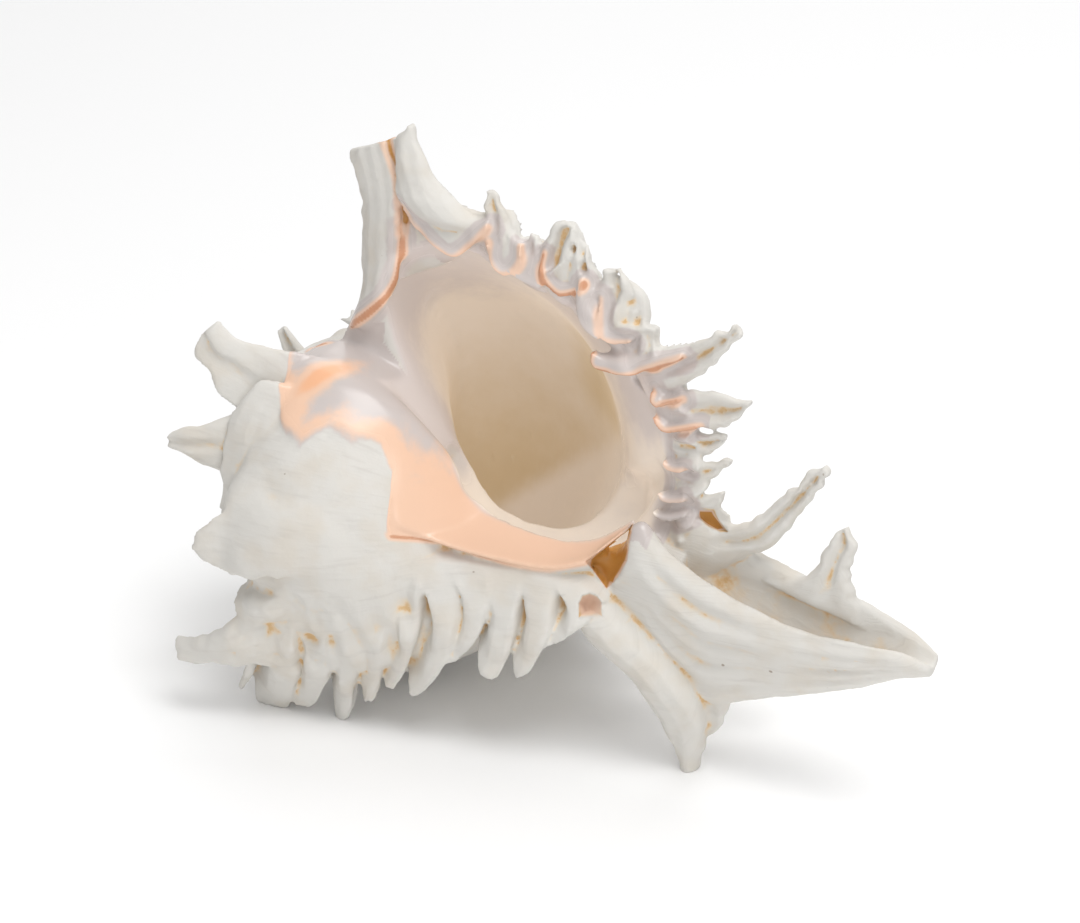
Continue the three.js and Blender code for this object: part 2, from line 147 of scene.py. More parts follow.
# Broad leaves: two edges from root to tip as (w, y, z), half thickness, forward bulge, and groove depth.
LEAVES = {
    "slit_leaf_behind": (
        [(33, 3, 33), (35.5, 3, 40), (36, 3, 48), (36.5, 2, 58), (36, 1, 64), (34.8, 1.5, 69.5)],
        [(39, 0, 34), (45, -0.5, 43), (46.6, -0.5, 50), (47, -1, 56), (46.8, -1, 61), (45.6, 0, 67),
         (43, 0, 73)],
        2.4, 1.2, 0),
    "slit_leaf_before": (
        [(50, 1.5, 58.6), (47.6, 0, 61), (46.4, -0.8, 64), (46.2, -0.5, 68), (46.4, 0, 73.5), (48.2, 0, 77)],
        [(67, 2, 58), (65.5, 0, 60.5), (62, 0, 62.5), (56.5, 0, 65.8), (52.8, 0, 70), (49.6, 0, 77.6)],
        2.2, 2, 0),
    "slit_back": (
        [(40, 6, 42), (40, 4, 50), (41, 1.8, 57), (42, 1.6, 64), (43, 1.4, 70), (43.8, 1.2, 73.5)],
        [(54, 6, 48), (53.5, 3, 54), (51, 1.8, 60), (49, 1.6, 66), (47.6, 1.4, 71), (46.4, 1.2, 74)],
        1.8, 0, 0),
    "lip_1": ([(63, 3, 53), (64.5, 0, 59), (66, 0, 67.3)],
              [(73, 3, 51), (72, 0, 58), (70.5, 0, 62), (67.3, 0, 67.3)], 2, 1, 1.2),
    "lip_2": ([(71.5, 3, 50), (73, 0, 56), (75.5, 0, 60.5)],
              [(78, 3, 48), (78.5, 0, 54), (77, 0, 60)], 1.8, 0.5, 1),
    "lip_3": ([(77, 3, 50), (77, 0, 57), (79.8, 0, 62.6), (82.5, 0, 64)],
              [(84, 3, 46), (84, 0, 54), (84.6, 0, 60), (84.6, 0, 63)], 2.4, 1, 3),
    "lip_4": ([(83, 3, 46), (83.5, 0, 54), (85.5, 0, 61)],
              [(90, 3, 43), (90, 0, 52), (88, 0, 59.5)], 2.2, 0.5, 2.4),
    "lip_5": ([(88.5, 3, 43), (89.5, 0, 50), (91, 0, 55.5), (93, 0, 57)],
              [(96, 3, 39), (96, 0, 47), (96.5, 0, 53), (94.8, 0, 56.8)], 2.2, 0.8, 2.6),
    "lip_6": ([(94, 3, 38), (95, 0, 45), (97, 0, 51)],
              [(101, 3, 34), (101, 0, 41), (99.8, 0, 47.5)], 2, 0.5, 2),
    "lip_7": ([(97, 3, 38), (101, 1, 40.8), (107, 0, 43.8), (118, 0, 51)],
              [(101, 3, 31), (107.8, 1, 36.4), (115, 0, 43), (119.7, 0, 49)], 2.6, 0.6, 2.4),
    "lip_8": ([(99, 3, 34), (104, 1, 33.5), (111.3, 0, 36.3), (122.2, 0, 36.8)],
              [(103, 3, 26), (108, 1, 28.5), (116.7, 0, 30), (121.5, 0, 35)], 2.4, 0.6, 2.2),
    "lip_9": ([(102, 3, 28), (107, 1, 27.5), (112, 0, 28.4), (117.2, 0, 28.6)],
              [(104, 3, 21), (108, 1, 22), (113, 0, 24), (116.5, 0, 26.8)], 2, 0.5, 1.8),
    "lip_10": ([(102, 3, 24), (106, 1, 22), (111.7, 0, 22), (118.9, 0, 24.3)],
               [(104, 3, 16), (108, 1, 17), (113, 0, 18), (117.5, 0, 22.3)], 2, 0.5, 1.8),
    "lip_11": ([(103, 3, 16), (107, 1, 15), (112, 0, 15.4), (117, 0, 17)],
               [(104, 3, 8), (108, 1, 9), (112.5, 0, 10.5), (116.5, 0, 15)], 2, 0.5, 1.6),
    "lip_back": ([(86, 9, 42), (94, 8.5, 33), (97.5, 7.5, 22), (98, 6.5, 7)],
                 [(91, 6, 46), (102, 5.5, 36), (106, 5, 24), (107, 4, 8)], 2.6, 0, 0),
    "canal_1": (
        [(104, 1, 6), (110, 0.5, 9.6), (120.3, 0, 11), (128.4, 0, 18.5), (136.5, 0, 27.2)],
        [(114, 1, -3), (120, 0.5, 3.5), (127, 0, 8.2), (132.7, 0, 16), (138.3, 0, 26.3)],
        2.6, 0.4, 2.2),
    "canal_2": (
        [(124, 1, 1), (130, 0.5, 2), (135, 0, 4.6), (139.3, 0, 12.5), (141.2, 0, 15.8)],
        [(150, 1, -4), (145.5, 0.5, 0), (143.4, 0, 6), (143.8, 0, 12), (142.6, 0, 15.8)],
        2.4, 0.4, 1.6),
    "shoulder_spine": (
        [(26, -20, 20), (19.6, -21, 23), (15.9, -20.5, 28.5), (12.6, -20, 31), (13.4, -20, 34.8)],
        [(37, -9, 29), (28, -15, 32), (21, -19, 33.8), (17.6, -20, 36.3), (15.5, -20, 36.6)],
        4.2, 0.5, 2.2),
    "spire_spine": (
        [(22, -20, 4), (15.5, -23, 8.5), (11, -24.5, 10.4), (8.2, -25, 11.2)],
        [(25, -16, 22), (19, -21, 19), (14, -24, 16.6), (7.8, -25, 14.4)],
        3.6, 0.4, 1.2),
    "shoulder_knob": (
        [(40, -27, 10), (31, -31, 8), (26, -34.5, 4.5), (22.9, -35.6, 0.6)],
        [(42, -28, -11), (31, -33, -8.5), (26, -35, -6.5), (22.8, -35.6, -4.8)],
        5.4, 0.5, 0),
    "shoulder_ramp": (
        [(27, -20, 28), (23.4, -22, 23.5), (21.2, -23, 18.5), (20.4, -24, 13.5), (20, -25, 8),
         (21.5, -28, 2)],
        [(38, -13, 25), (38, -19, 20.5), (38, -23, 16), (38, -26, 11), (38, -28.5, 6), (38, -30, 0)],
        2, 0.6, 0),
    "knob_ridge": (
        [(58, -17, 7), (50, -26, 8.5), (42, -31, 9.5), (34, -33.4, 8.5), (27, -33.8, 4)],
        [(58, -21.5, -4), (50, -29.6, -5), (42, -34.4, -5.5), (34, -36.6, -6.5), (27, -35.2, -7)],
        2.2, 0.8, 0),
    "front_spine": (
        [(40, -24, -28), (29, -32, -27.5), (21.5, -35, -28), (15.4, -36, -28.2)],
        [(36, -30, -11), (28.5, -34, -17.5), (22.5, -35.5, -22.3), (14.6, -35.6, -25.4)],
        3.4, 0.5, 0.8),
    "old_canal_horn": (
        [(88, -6, -9), (93.5, -8, -15.5), (100, -7.5, -20), (105.5, -7, -26.5), (109.5, -5, -34.5),
         (111, -4, -41.8)],
        [(94, -7, -3), (106, -8, -12), (113, -7.5, -19), (116.5, -6, -26), (116.3, -4.5, -33),
         (114.3, -4, -41.8)],
        4.6, 2.2, 0),
    "old_canal_tongue": (
        [(112, -3, -20), (114, -2, -27), (114.5, -1, -34)],
        [(121, -4, -20), (120.5, -3.5, -26.5), (117, -2, -34.5)],
        2.2, 0.5, 0),
}

# The front varix: a curtain of folds below the callus, its top edge and its tips as (w, y, z).
CURTAIN = [
    ((27, -33, -14), (24.5, -26, -37)),
    ((33, -33.5, -12), (31, -22.5, -42)),
    ((41, -31, -9.5), (40, -21.5, -42)),
    ((49, -27.5, -6.5), (49, -21.5, -37)),
    ((59, -22, -3), (57, -22, -32.3)),
    ((69, -16.5, -2), (65, -21, -28)),
    ((78, -14.5, -2), (73, -20, -23)),
    ((86, -13.5, -2), (82.5, -18.5, -22.4)),
    ((92, -12, -2.5), (89.5, -17, -17.5)),
    ((95.5, -10.5, -3.5), (94, -13, -12)),
]
FOLD_RUNS = [3, 11, 19, 26, 33, 39, 46, 53, 60, 67.5, 75]

# Siphonal canal: w, front wall's top, bottom, back wall's top, half thickness, groove depth.
CANAL = [
    (93, 0, -8, 0.6, 6, 0.5),
    (98, 4.4, -11, 7, 7, 2.5),
    (103.5, 11.3, -15, 14, 8, 6),
    (109, 6.4, -21, 10, 7.6, 7),
    (117, 1.8, -25.8, 7, 7.2, 7.5),
    (125, -1, -23, 4.5, 6.8, 7),
    (136, -3.4, -18.8, 2, 6.2, 6),
    (147, -3.6, -14.5, 0.4, 5.4, 5),
    (156, -3.4, -10, -2.4, 4.4, 3.4),
    (161.8, -5.6, -8.2, -4.6, 2.4, 0.8),
]
CANAL_Y = -3.0

# The callus's free flange below the mouth: inner edge, then free edge, (w, y, z).
FLANGE = [
    ((54, -9, 17), (53.0, -19.5, 8.5)),
    ((57.5, -8, 10.5), (57.5, -20.5, 4.2)),
    ((66, -6.5, 4.6), (66.5, -18, 1.2)),
    ((77, -6.5, 2.4), (77.7, -16, 0)),
    ((87, -6.5, 2.2), (87.2, -14.5, 0)),
    ((93.8, -6, 4.5), (94.2, -12.5, 2.2)),
    ((97.5, -6, 7.1), (97, -10.8, 5)),
    ((101.2, -6, 10.1), (101.4, -7.8, 9.6)),
]

# Pits cut into the fused shell: corners of the mouth as (w, y, z), depth, and how dark the stain in it is.
PITS = {
    "chink": (
        [(93.9, -12, 2), (97.3, -12, 5.2), (101, -12, 9), (104.8, -12, 13.4), (103.7, -12, 8.6),
         (103.2, -12, 4.2), (101.1, -12, -0.2), (98.7, -12, -3.2), (96.3, -12, -0.7)],
        11, 1.0),
    "pinhole": (
        [(93.1, -13, -9.6), (93, -13, -6.6), (93.8, -13, -4.9), (95.6, -13, -3.7), (97.4, -13, -4),
         (98.4, -13, -5.2), (98.5, -13, -8.2)],
        3.2, 0.1),
    "frill": (
        [(110.6, 0, 12.4), (115.2, 0, 13.3), (115.9, 0, 10.9), (117.9, 0, 8.9), (116.2, 0, 8.5),
         (113.6, 0, 8.9), (110.9, 0, 10.1)],
        1.2, 1.0),
}
PIT_WAY = np.array([-0.45, 0.79, -0.42])  # the slanting way that all pits go in
PIT_LEAD = 9  # how far a pit's cut starts in front of its mouth


class ShellSettings(bpy.types.PropertyGroup):
    """Sizes and colours of the shell."""

    growth: FloatProperty(
        name="Growth per turn", description="How much larger the shell grows in one turn", default=1.75)
    varix_spacing: FloatProperty(
        name="Varix spacing", description="Degrees of growth between varices", default=112)
    varix_height: FloatProperty(
        name="Varix height", description="Swelling along a varix, in millimetres", default=3.2)
    lip_flare: FloatProperty(
        name="Lip flare", description="How far the lip turns outwards, in millimetres", default=6.5)
    knob_height: FloatProperty(
        name="Knob height", description="Shoulder knobs between varices, in millimetres", default=6)
    voxel: FloatProperty(
        name="Fusing step", description="Finest detail kept where forms grow together", default=0.00045,
        unit="LENGTH", precision=5)
    dent_size: FloatProperty(
        name="Dents", description="Width of the dents worn into the chalk", default=0.006, unit="LENGTH",
        precision=4)
    dent_depth: FloatProperty(
        name="Dent depth", description="Depth of the deepest dents", default=0.003, unit="LENGTH",
        precision=4)
    faces: IntProperty(name="Triangles", description="Triangles in the finished shell", default=190000)
    chalk: StringProperty(name="Chalk", description="Outer layer, sRGB hex", default="D6D3CD")
    chalk_warm: StringProperty(
        name="Warm chalk", description="Cream clouds in the outer layer, sRGB hex", default="D0C6B7")
    chalk_grey: StringProperty(
        name="Grey chalk", description="Worn growth lines, sRGB hex", default="B4AEA7")
    speck: StringProperty(
        name="Specks", description="Small dark pits in the chalk, sRGB hex", default="8C7A68")
    crevice_pale: StringProperty(
        name="Crevice rim", description="Stain at a fold's edge, sRGB hex", default="E2C9A4")
    ochre: StringProperty(name="Ochre", description="Stain deep in the folds, sRGB hex", default="C6974F")
    rust_and_rim_shadow: StringProperty(
        # Rust: partly the rims' own colour, partly a painted shadow line under each rim.
        name="Rust", description="Darkest line along a petal's rim, sRGB hex", default="C07A4C")
    pit_pale: StringProperty(
        name="Pit's rim", description="Stained wall near a pit's mouth, sRGB hex", default="DCC0AC")
    pit: StringProperty(
        name="Pit", description="Stained wall in the chink beside the canal, sRGB hex", default="B98440")
    glaze: StringProperty(
        name="Glaze", description="Lilac-white glaze round the mouth, sRGB hex", default="C9C0BC")
    peach: StringProperty(name="Peach", description="Pink part of the glaze, sRGB hex", default="ECC6AB")
    deep: StringProperty(name="Orange", description="Deepest part of the glaze, sRGB hex", default="F0B58C")
    tan: StringProperty(name="Inside", description="Wall inside the mouth, sRGB hex", default="E3D8CB")
    # Deep inside: partly the wall's own tan, partly painted shade far inside the hollow.
    deep_tan_and_shade: StringProperty(name="Deep inside", description="Wall far inside, sRGB hex", default="CDB998")


class StageSettings(bpy.types.PropertyGroup):
    """Floor, light and camera."""

    floor: StringProperty(name="Floor", description="Floor colour, sRGB hex", default="FAFAFA")
    lens: FloatProperty(
        name="Lens", description="Camera focal length", default=107.5, subtype="DISTANCE_CAMERA")
    distance: FloatProperty(
        name="Camera distance", description="From the camera to the shell's middle", default=0.62,
        unit="LENGTH")
    azimuth: FloatProperty(
        name="Azimuth", description="Camera's turn round the shell", default=math.radians(30),
        subtype="ANGLE")
    elevation: FloatProperty(
        name="Elevation", description="Camera's height angle", default=math.radians(25), subtype="ANGLE")


# Shapes shared by the pieces

def settings():
    return bpy.context.scene.murex_shell


def run_along(points):
    """The length of a path up to each of its points."""
    return np.concatenate([[0], np.cumsum(np.linalg.norm(np.diff(points, axis=0), axis=1))])


def smooth_path(points, count, closed=False):
    """Evenly spaced points on a smooth curve through the given ones."""
    p = np.asarray(points, float)
    n = len(p)
    spans = n if closed else n - 1
    fine = []
    for i in range(spans):
        pick = [(i + k) % n if closed else min(max(i + k, 0), n - 1) for k in (-1, 0, 1, 2)]
        a, b, c, d = p[pick]
        t = np.linspace(0, 1, 24, endpoint=False)[:, None]
        fine.append(0.5 * (2 * b + (c - a) * t + (2 * a - 5 * b + 4 * c - d) * t**2
                           + (3 * b - a - 3 * c + d) * t**3))
    fine.append(p[:1] if closed else p[-1:])
    fine = np.concatenate(fine)
    run = run_along(fine)
    where = np.linspace(0, run[-1], count, endpoint=not closed)
    return np.stack([np.interp(where, run, fine[:, k]) for k in range(p.shape[1])], 1)


def two_paths(rows, count):
    """Smooth paths through the first and through the second points of rows."""
    return [smooth_path([row[k] for row in rows], count) for k in (0, 1)]


def around(w, radius, back):
    """Points in the shell's frame from w, radius and back."""
    angle = np.radians(back)
    w, radius, angle = np.broadcast_arrays(w, radius, angle)
    return np.stack([w, radius * np.sin(angle), radius * np.cos(angle)], -1)


def scale_at(back):
    return settings().growth ** (-np.asarray(back, float) / 360)


def step(x, low, high):
    t = np.clip((x - low) / (high - low), 0, 1)
    return t * t * (3 - 2 * t)


def between(x, rise_from, rise_to, fall_from, fall_to):
    """1 between the two middle limits, fading to 0 at the outer two."""
    return step(x, rise_from, rise_to) * (1 - step(x, fall_from, fall_to))


def waver(x, y, z):
    """Smooth noise at a place, from -1 to 1."""
    return noise.noise(Vector((x, y, z)))


def bump(x, half_width):
    return np.exp(-((x / half_width) ** 2))


def callus_share(w, back):
    """How much a place on the body whorl is covered by the callus, 0 to 1."""
    edge_w, edge_back = np.array(CALLUS_EDGE).T
    return step(back - np.interp(w, edge_w, edge_back), -1.0, 2.0) * step(w, 27.5, 30)


def deselect():
    bpy.ops.object.select_all(action="DESELECT")


def activate(obj):
    deselect()
    obj.select_set(True)
    bpy.context.view_layer.objects.active = obj


def add_mesh(name, points, faces):
    """A mesh object from shell-frame points in millimetres, facing outwards."""
    mesh = bpy.data.meshes.new(name)
    mesh.from_pydata(((np.asarray(points) + APEX) * MM).tolist(), [], faces)
    mesh.validate()
    obj = bpy.data.objects.new(name, mesh)
    bpy.context.scene.collection.objects.link(obj)
    activate(obj)
    bpy.ops.object.mode_set(mode="EDIT")
    bpy.ops.mesh.select_all(action="SELECT")
    bpy.ops.mesh.remove_doubles(threshold=WELD)
    bpy.ops.mesh.quads_convert_to_tris()
    bpy.ops.mesh.normals_make_consistent(inside=False)
    bpy.ops.object.mode_set(mode="OBJECT")
    return obj


def add_loft(name, rings):
    """A closed solid through rings of equally many points."""
    rings = np.asarray(rings)
    count, sides = rings.shape[:2]
    faces = [list(range(sides))[::-1], [(count - 1) * sides + i for i in range(sides)]]
    for r in range(count - 1):
        for i in range(sides):
            j = (i + 1) % sides
            faces.append([r * sides + i, r * sides + j, (r + 1) * sides + j, (r + 1) * sides + i])
    return add_mesh(name, rings.reshape(-1, 3), faces)


def apply_modifier(obj, kind, **values):
    """Adds a modifier, sets it and applies it."""
    activate(obj)
    modifier = obj.modifiers.new(kind.lower(), kind)
    for key, value in values.items():
        setattr(modifier, key, value)
    bpy.ops.object.modifier_apply(modifier=modifier.name)


def cut(obj, cutter):
    apply_modifier(obj, "BOOLEAN", operation="DIFFERENCE", solver="MANIFOLD", object=cutter)
    bpy.data.objects.remove(cutter)


def keep(obj):
    """Puts a form aside until all are fused into the shell."""
    obj["murex_form"] = True


# Whorls

def swelling(back, w):
    """How far the wall stands out of the plain whorl at an outline place, before the whorl's scale."""
    s = settings()
    height = s.lip_flare * np.exp(-back / LIP_FLARE_ANGLE) * step(w, 40, 46)
    near = bump(back, 16)
    for i in range(1, OLD_VARICES + 1):
        past = back - i * s.varix_spacing
        height = height + s.varix_height * bump(past, VARIX_HALF_WIDTH)
        near = np.maximum(near, np.where(past > 0, bump(past, 26), bump(past, 7)))
        knob = back - (i - 0.5) * s.varix_spacing
        height = height + s.knob_height * bump(w - SHOULDER_W, KNOB_SPREAD) * bump(knob, KNOB_HALF_WIDTH)
    bare = 1 - callus_share(w * scale_at(back), back) * (back <= 362)
    for cord in CORDS:
        height = height + (0.12 + 1.3 * near * bare) * bump(w - cord, CORD_HALF_WIDTH)
    return height


def wall_points(back, outline, outwards):
    """Wall points of one age for every outline place."""
    s = scale_at(back)
    height = swelling(back, outline[:, 0])
    w = (outline[:, 0] + outwards[:, 0] * height) * s
    radius = (outline[:, 1] + outwards[:, 1] * height) * s
    cover = callus_share(w, back) * CALLUS_THICKNESS * (back <= 360)
    return around(w + cover * outwards[:, 0], radius + cover * outwards[:, 1], back)


def make_whorls():
    outline = smooth_path(OUTLINE, WALL_ROWS)
    along = np.gradient(outline, axis=0)
    outwards = np.stack([-along[:, 1], along[:, 0]], 1)
    outwards /= np.linalg.norm(outwards, axis=1)[:, None]
    cover = int(np.argmin(np.abs(outline[:, 0] - COVER_W)))
    lines = []
    for c in range(WALL_COLUMNS + 1):
        line = []
        for turn in range(SPIRE_TURNS, -1, -1):
            age = 360 * c / WALL_COLUMNS + 360 * turn
            line.append(wall_points(age + 360, outline, outwards)[cover:cover + 1])
            line.append(wall_points(age, outline, outwards)[:cover if turn else None])
        lines.append(np.concatenate(line))
    rows = len(lines[0])
    points = [np.array([[0.0, 0, 0], [NECK_END, 0, 0]])] + lines
    faces = []
    at = lambda c, i: 2 + c * rows + i
    for c in range(WALL_COLUMNS):
        faces.append([0, at(c, 0), at(c + 1, 0)])
        for i in range(rows - 1):
            faces.append([at(c, i), at(c, i + 1), at(c + 1, i + 1), at(c + 1, i)])
        faces.append([1, at(c + 1, rows - 1), at(c, rows - 1)])
    turn_rows = cover + 1
    for i in range(turn_rows):
        faces.append([0, at(WALL_COLUMNS, i), at(WALL_COLUMNS, i + 1)])
    last = SPIRE_TURNS * turn_rows
    face = [at(0, i) for i in range(last, rows)] + [1]
    face += [at(WALL_COLUMNS, i) for i in range(rows - 1, last + turn_rows, -1)]
    faces.append(face)
    return add_mesh("whorls", np.concatenate(points), faces)


def hollow_section(share):
    inside = smooth_path(HOLLOW, HOLLOW_SIDES, closed=True)
    mouth = smooth_path(MOUTH, HOLLOW_SIDES, closed=True)
    return inside + (mouth - inside) * share


def mouth_share(back):
    """How far the hollow's section has opened towards the lip, 0 to 1."""
    return max(0, 1 - back / MOUTH_ANGLE) ** 3 if back > 0 else 1 - 0.0075 * back


def hollow_steps(start):
    """Degrees behind the lip at which the hollow is drawn, closer together where it opens into the mouth."""
    return np.concatenate([np.arange(start, MOUTH_ANGLE, 1), np.arange(MOUTH_ANGLE, HOLLOW_TURN, 4)])


def make_hollow(start):
    """The hollow from so many degrees behind the lip, or from in front of it."""
    rings = []
    for back in hollow_steps(start):
        section = hollow_section(mouth_share(back)) * scale_at(max(0, back))
        rings.append(around(section[:, 0], section[:, 1], back))
    return add_loft("hollow", rings)


def make_scoop():
    turn = np.radians(np.arange(0, 360, 12))
    rings = []
    for w, y, z, half_width, half_height in smooth_path(SCOOP, 40):
        across = np.stack([y + half_width * np.cos(turn), z + half_height * np.sin(turn)], 1)
        rings.append(np.insert(across, 0, w, axis=1))
    return add_loft("scoop", rings)


def make_pillar():
    stations = smooth_path(PILLAR, 40)
    turn = np.arange(0, 360, 10)
    return add_loft("pillar", [around(w, radius, turn) for w, radius in stations])


class MUREX_OT_whorls(bpy.types.Operator):
    """Coiled body and spire round the columella, with the hollow of the last whorl open at the lip"""

    bl_idname = "murex.whorls"
    bl_label = "Whorls"

    def execute(self, context):
        whorls = make_whorls()
        pillar = make_pillar()
        apply_modifier(whorls, "BOOLEAN", operation="UNION", solver="MANIFOLD", object=pillar)
        bpy.data.objects.remove(pillar)
        cut(whorls, make_hollow(-MOUTH_REACH))
        cut(whorls, make_scoop())
        keep(whorls)
        return {"FINISHED"}


# Fronds

GUTTER_TURN = 128  # degrees to each side that a frond's gutter is closed
FROND_RAGGED = 0.352  # of the half width
FROND_CURL = 0.48  # of the half thickness
WEB_REACH = 0.68  # how far up the fronds the wall between them goes
WEB_HALF_THICKNESS = 1.9
LEAF_RINGS = 48
CURTAIN_FRONT = np.array([0.15, -0.9, -0.4])
# Leaves that don't face the way the mouth looks.
LEAF_FRONTS = {
    "front_spine": (0.2, -0.75, -0.6),
    "shoulder_spine": (-0.45, -0.75, -0.5),
    "shoulder_knob": (-0.6, -0.7, 0),
    "shoulder_ramp": (-0.5, -0.8, 0.2),
}


def make_frond(name, root, tip, half_width, half_thickness, front, bow, twigs, seed):
    """A curved leafy gutter from root to tip, open to the front, with ragged edges."""
    root, tip, front = (np.asarray(v, float) for v in (root, tip, front))
    along = tip - root
    length = np.linalg.norm(along)
    along /= length
    side = np.cross(along, front)
    side /= np.linalg.norm(side)
    facing = np.cross(side, along)
    middle = (root + tip) / 2 + side * bow
    turn = np.radians(np.linspace(-GUTTER_TURN, GUTTER_TURN, 15))
    outer = np.stack([np.sin(turn), -np.cos(turn)], 1)
    inner = np.stack([0.52 * np.sin(turn), 0.25 - 0.5 * np.cos(turn)], 1)[::-1]
    section = np.concatenate([outer, inner])
    rings = []
    for t in np.linspace(0, 1, 24):
        centre = (1 - t) ** 2 * root + 2 * t * (1 - t) * middle + t * t * tip
        left, right = (1 + FROND_RAGGED * waver(t * length / 4, seed * 3.1, k) for k in (0.3, 9.3))
        width = half_width * (1.15 - 0.62 * t)
        thick = half_thickness * (1.1 - 0.55 * t)
        across = np.where(section[:, 0] < 0, left, right) * section[:, 0] * width
        curl = FROND_CURL * half_thickness * t * t
        rings.append(centre + across[:, None] * side + (section[:, 1, None] * thick - curl) * facing)
    forms = [add_loft(name, rings)]
    for k in range(twigs):
        t = 0.5 + 0.42 * (k + 0.5) / twigs
        hand = 1 if (k + seed) % 2 else -1
        start = root + (tip - root) * t
        end = start + along * (0.16 * length + 1.5) + side * hand * half_width * 1.05
        end += facing * 0.8 * waver(seed * 1.7, k * 2.3, 4.1)
        turn8 = np.radians(np.arange(0, 360, 45))
        twig = []
        for q in np.linspace(0, 1, 6):
            size = half_width * 0.36 * (1 - 0.62 * q)
            spot = start + (end - start) * q
            twig.append(spot + np.cos(turn8)[:, None] * side * size * 0.9
                        + np.sin(turn8)[:, None] * facing * size)
        forms.append(add_loft(name + "_twig", twig))
    for form in forms:
        keep(form)


def make_leaf(name, edge_a, edge_b, half_thickness, bulge, groove, front):
    """A broad thick leaf between two ragged edges, bulging to the front, hollowed along its middle."""
    front = np.asarray(front, float)
    turn = np.radians(np.arange(0, 360, 12))
    across = np.cos(turn)
    lens = np.sign(np.sin(turn)) * np.abs(np.sin(turn)) ** 0.8
    seed = 1.7 * len(name) + edge_a[0][0]
    rings = []
    edges = (smooth_path(edge, LEAF_RINGS) for edge in (edge_a, edge_b))
    for share, a, b in zip(np.linspace(0, 1, LEAF_RINGS), *edges):
        middle, half = (a + b) / 2, (b - a) / 2
        ragged = [1.5 * waver(a[0] / 2.4 + a[2] / 2.4, seed, k) * share for k in (0.3, 7.3)]
        reach = np.linalg.norm(half)
        wide = across * np.where(across < 0, 1 + ragged[0] / reach, 1 + ragged[1] / reach)
        thick = half_thickness * (1 - 0.45 * share)
        lift = lens * thick + bulge * (1 - across**2) * math.sin(math.pi * min(1, 0.25 + share))
        lift = lift - groove * bump(across, 0.35) * (lens > 0) * step(share, 0.1, 0.5)
        lift = lift + 0.5 * waver(share * 5, seed, 3.1)
        lift = lift + 0.22 * np.cos(across * 2.2 * reach + seed) * (lens > 0) * step(share, 0, 0.3)
        rings.append(middle + wide[:, None] * half + lift[:, None] * front)
    keep(add_loft(name, rings))


def make_curtain():
    """The front varix: flat-topped folds parted by narrow crevices, hanging free at their tips."""
    top, tip = two_paths(CURTAIN, 360)
    run = run_along((top + tip) / 2)
    edges = np.array(FOLD_RUNS)
    away = np.min(np.abs(run[:, None] - edges[None]), axis=1)
    down = np.linspace(0, 1, 26)
    rings = []
    for i in range(len(run)):
        finger = int(np.searchsorted(edges, run[i]))
        half = 2.9 + 0.3 * math.sin(finger * 2.1)
        round_ = math.sqrt(max(0, 1 - (1 - min(1, away[i] / half)) ** 2))
        length = 1 - 0.3 * bump(away[i], 1.0) + 0.09 * math.sin(finger * 2.4)
        length += 0.03 * waver(run[i] / 0.9, 2.2, 0)
        free = step(down, 0.16 + 0.1 * math.sin(finger * 1.9), 0.5)
        depth = (3.0 * (1 - round_) + 3.0 * bump(away[i], 0.7) + 0.18 * math.cos(run[i] * 5.2)) * free
        worn = np.array([waver(run[i] / 5, v * 5, 7.7) for v in down])
        depth = depth + 3.2 * worn * bump(down - 0.25, 0.22) * between(run[i], 2, 8, 34, 44)
        belly = 2.4 * np.sin(np.pi * np.clip(down * 0.9 + 0.1, 0, 1)) + 1.4 * down**3
        ripple = 0.22 * np.sin(down * 19 + finger) * free
        front = top[i] + (tip[i] - top[i]) * (down * length)[:, None]
        front += (belly + ripple - depth)[:, None] * CURTAIN_FRONT
        front[:, 0] += (2.5 + math.sin(finger * 1.3)) * (np.sin(np.pi * down) - 0.8 * down**4)
        back = front - (5.6 - 2.4 * down - 0.4 * depth)[:, None] * CURTAIN_FRONT
        rings.append(np.concatenate([front, back[::-1]]))
    keep(add_loft("curtain", rings))


def make_web(name, fronds, front):
    """The thin wall that joins a row of fronds along its varix."""
    offset = np.asarray(front) * WEB_HALF_THICKNESS
    rings = []
    for root, tip in zip(*two_paths(fronds, 60)):
        outer = root + (tip - root) * WEB_REACH
        rings.append([root + offset, outer + offset * 0.6, outer - offset * 0.6, root - offset])
    keep(add_loft(name + "_web", rings))


def growth_front(back):
    """The way that the mouth looked when the lip stood so many degrees back."""
    return (0, -math.cos(math.radians(back)), math.sin(math.radians(back)))


class MUREX_OT_fronds(bpy.types.Operator):
    """Leafy gutters along the lip and both older varices, and the spines of the spire"""

    bl_idname = "murex.fronds"
    bl_label = "Fronds"

    def execute(self, context):
        spacing = settings().varix_spacing
        groups = [
            ("rear", REAR_FRONDS, growth_front(spacing)),
            ("spire", SPIRE_SPINES, (0, -1, 0)),
            ("old_canal", OLD_CANALS, (0, -1, 0)),
        ]
        for name, fronds, front in groups:
            for i, (root, tip, half_width, half_thickness, bow, twigs) in enumerate(fronds):
                make_frond(name, root, tip, half_width, half_thickness, front, bow, twigs, i + len(name))
            if name == "rear":
                make_web(name, fronds[1:], front)
        for name, (edge_a, edge_b, half_thickness, bulge, groove) in LEAVES.items():
            make_leaf(name, edge_a, edge_b, half_thickness, bulge, groove, LEAF_FRONTS.get(name, (0, -1, 0)))
        make_curtain()
        return {"FINISHED"}


# Lip

LIP_LINE = [
    (51, 52.6), (55, 54), (61, 54.3), (70, 53), (82, 48), (94, 41.5), (101.5, 32.5), (104.6, 22),
    (105, 12), (104, 4),
]
# Folds of the lip's edge, each running up into a frond: (w, z) by the lip line, height, half width.
FOLDS = [
    (66.5, 54, 9, 6.5), (75, 51.5, 7, 4.2), (81.5, 49, 11, 4), (89, 45.5, 10, 4.4),
    (96, 40, 9, 4.2), (101, 33.5, 7, 4), (103.3, 28, 8, 3), (104.6, 23.5, 8, 2.6), (105.3, 18.5, 8, 2.8),
    (105.5, 13, 7, 3.2),
]
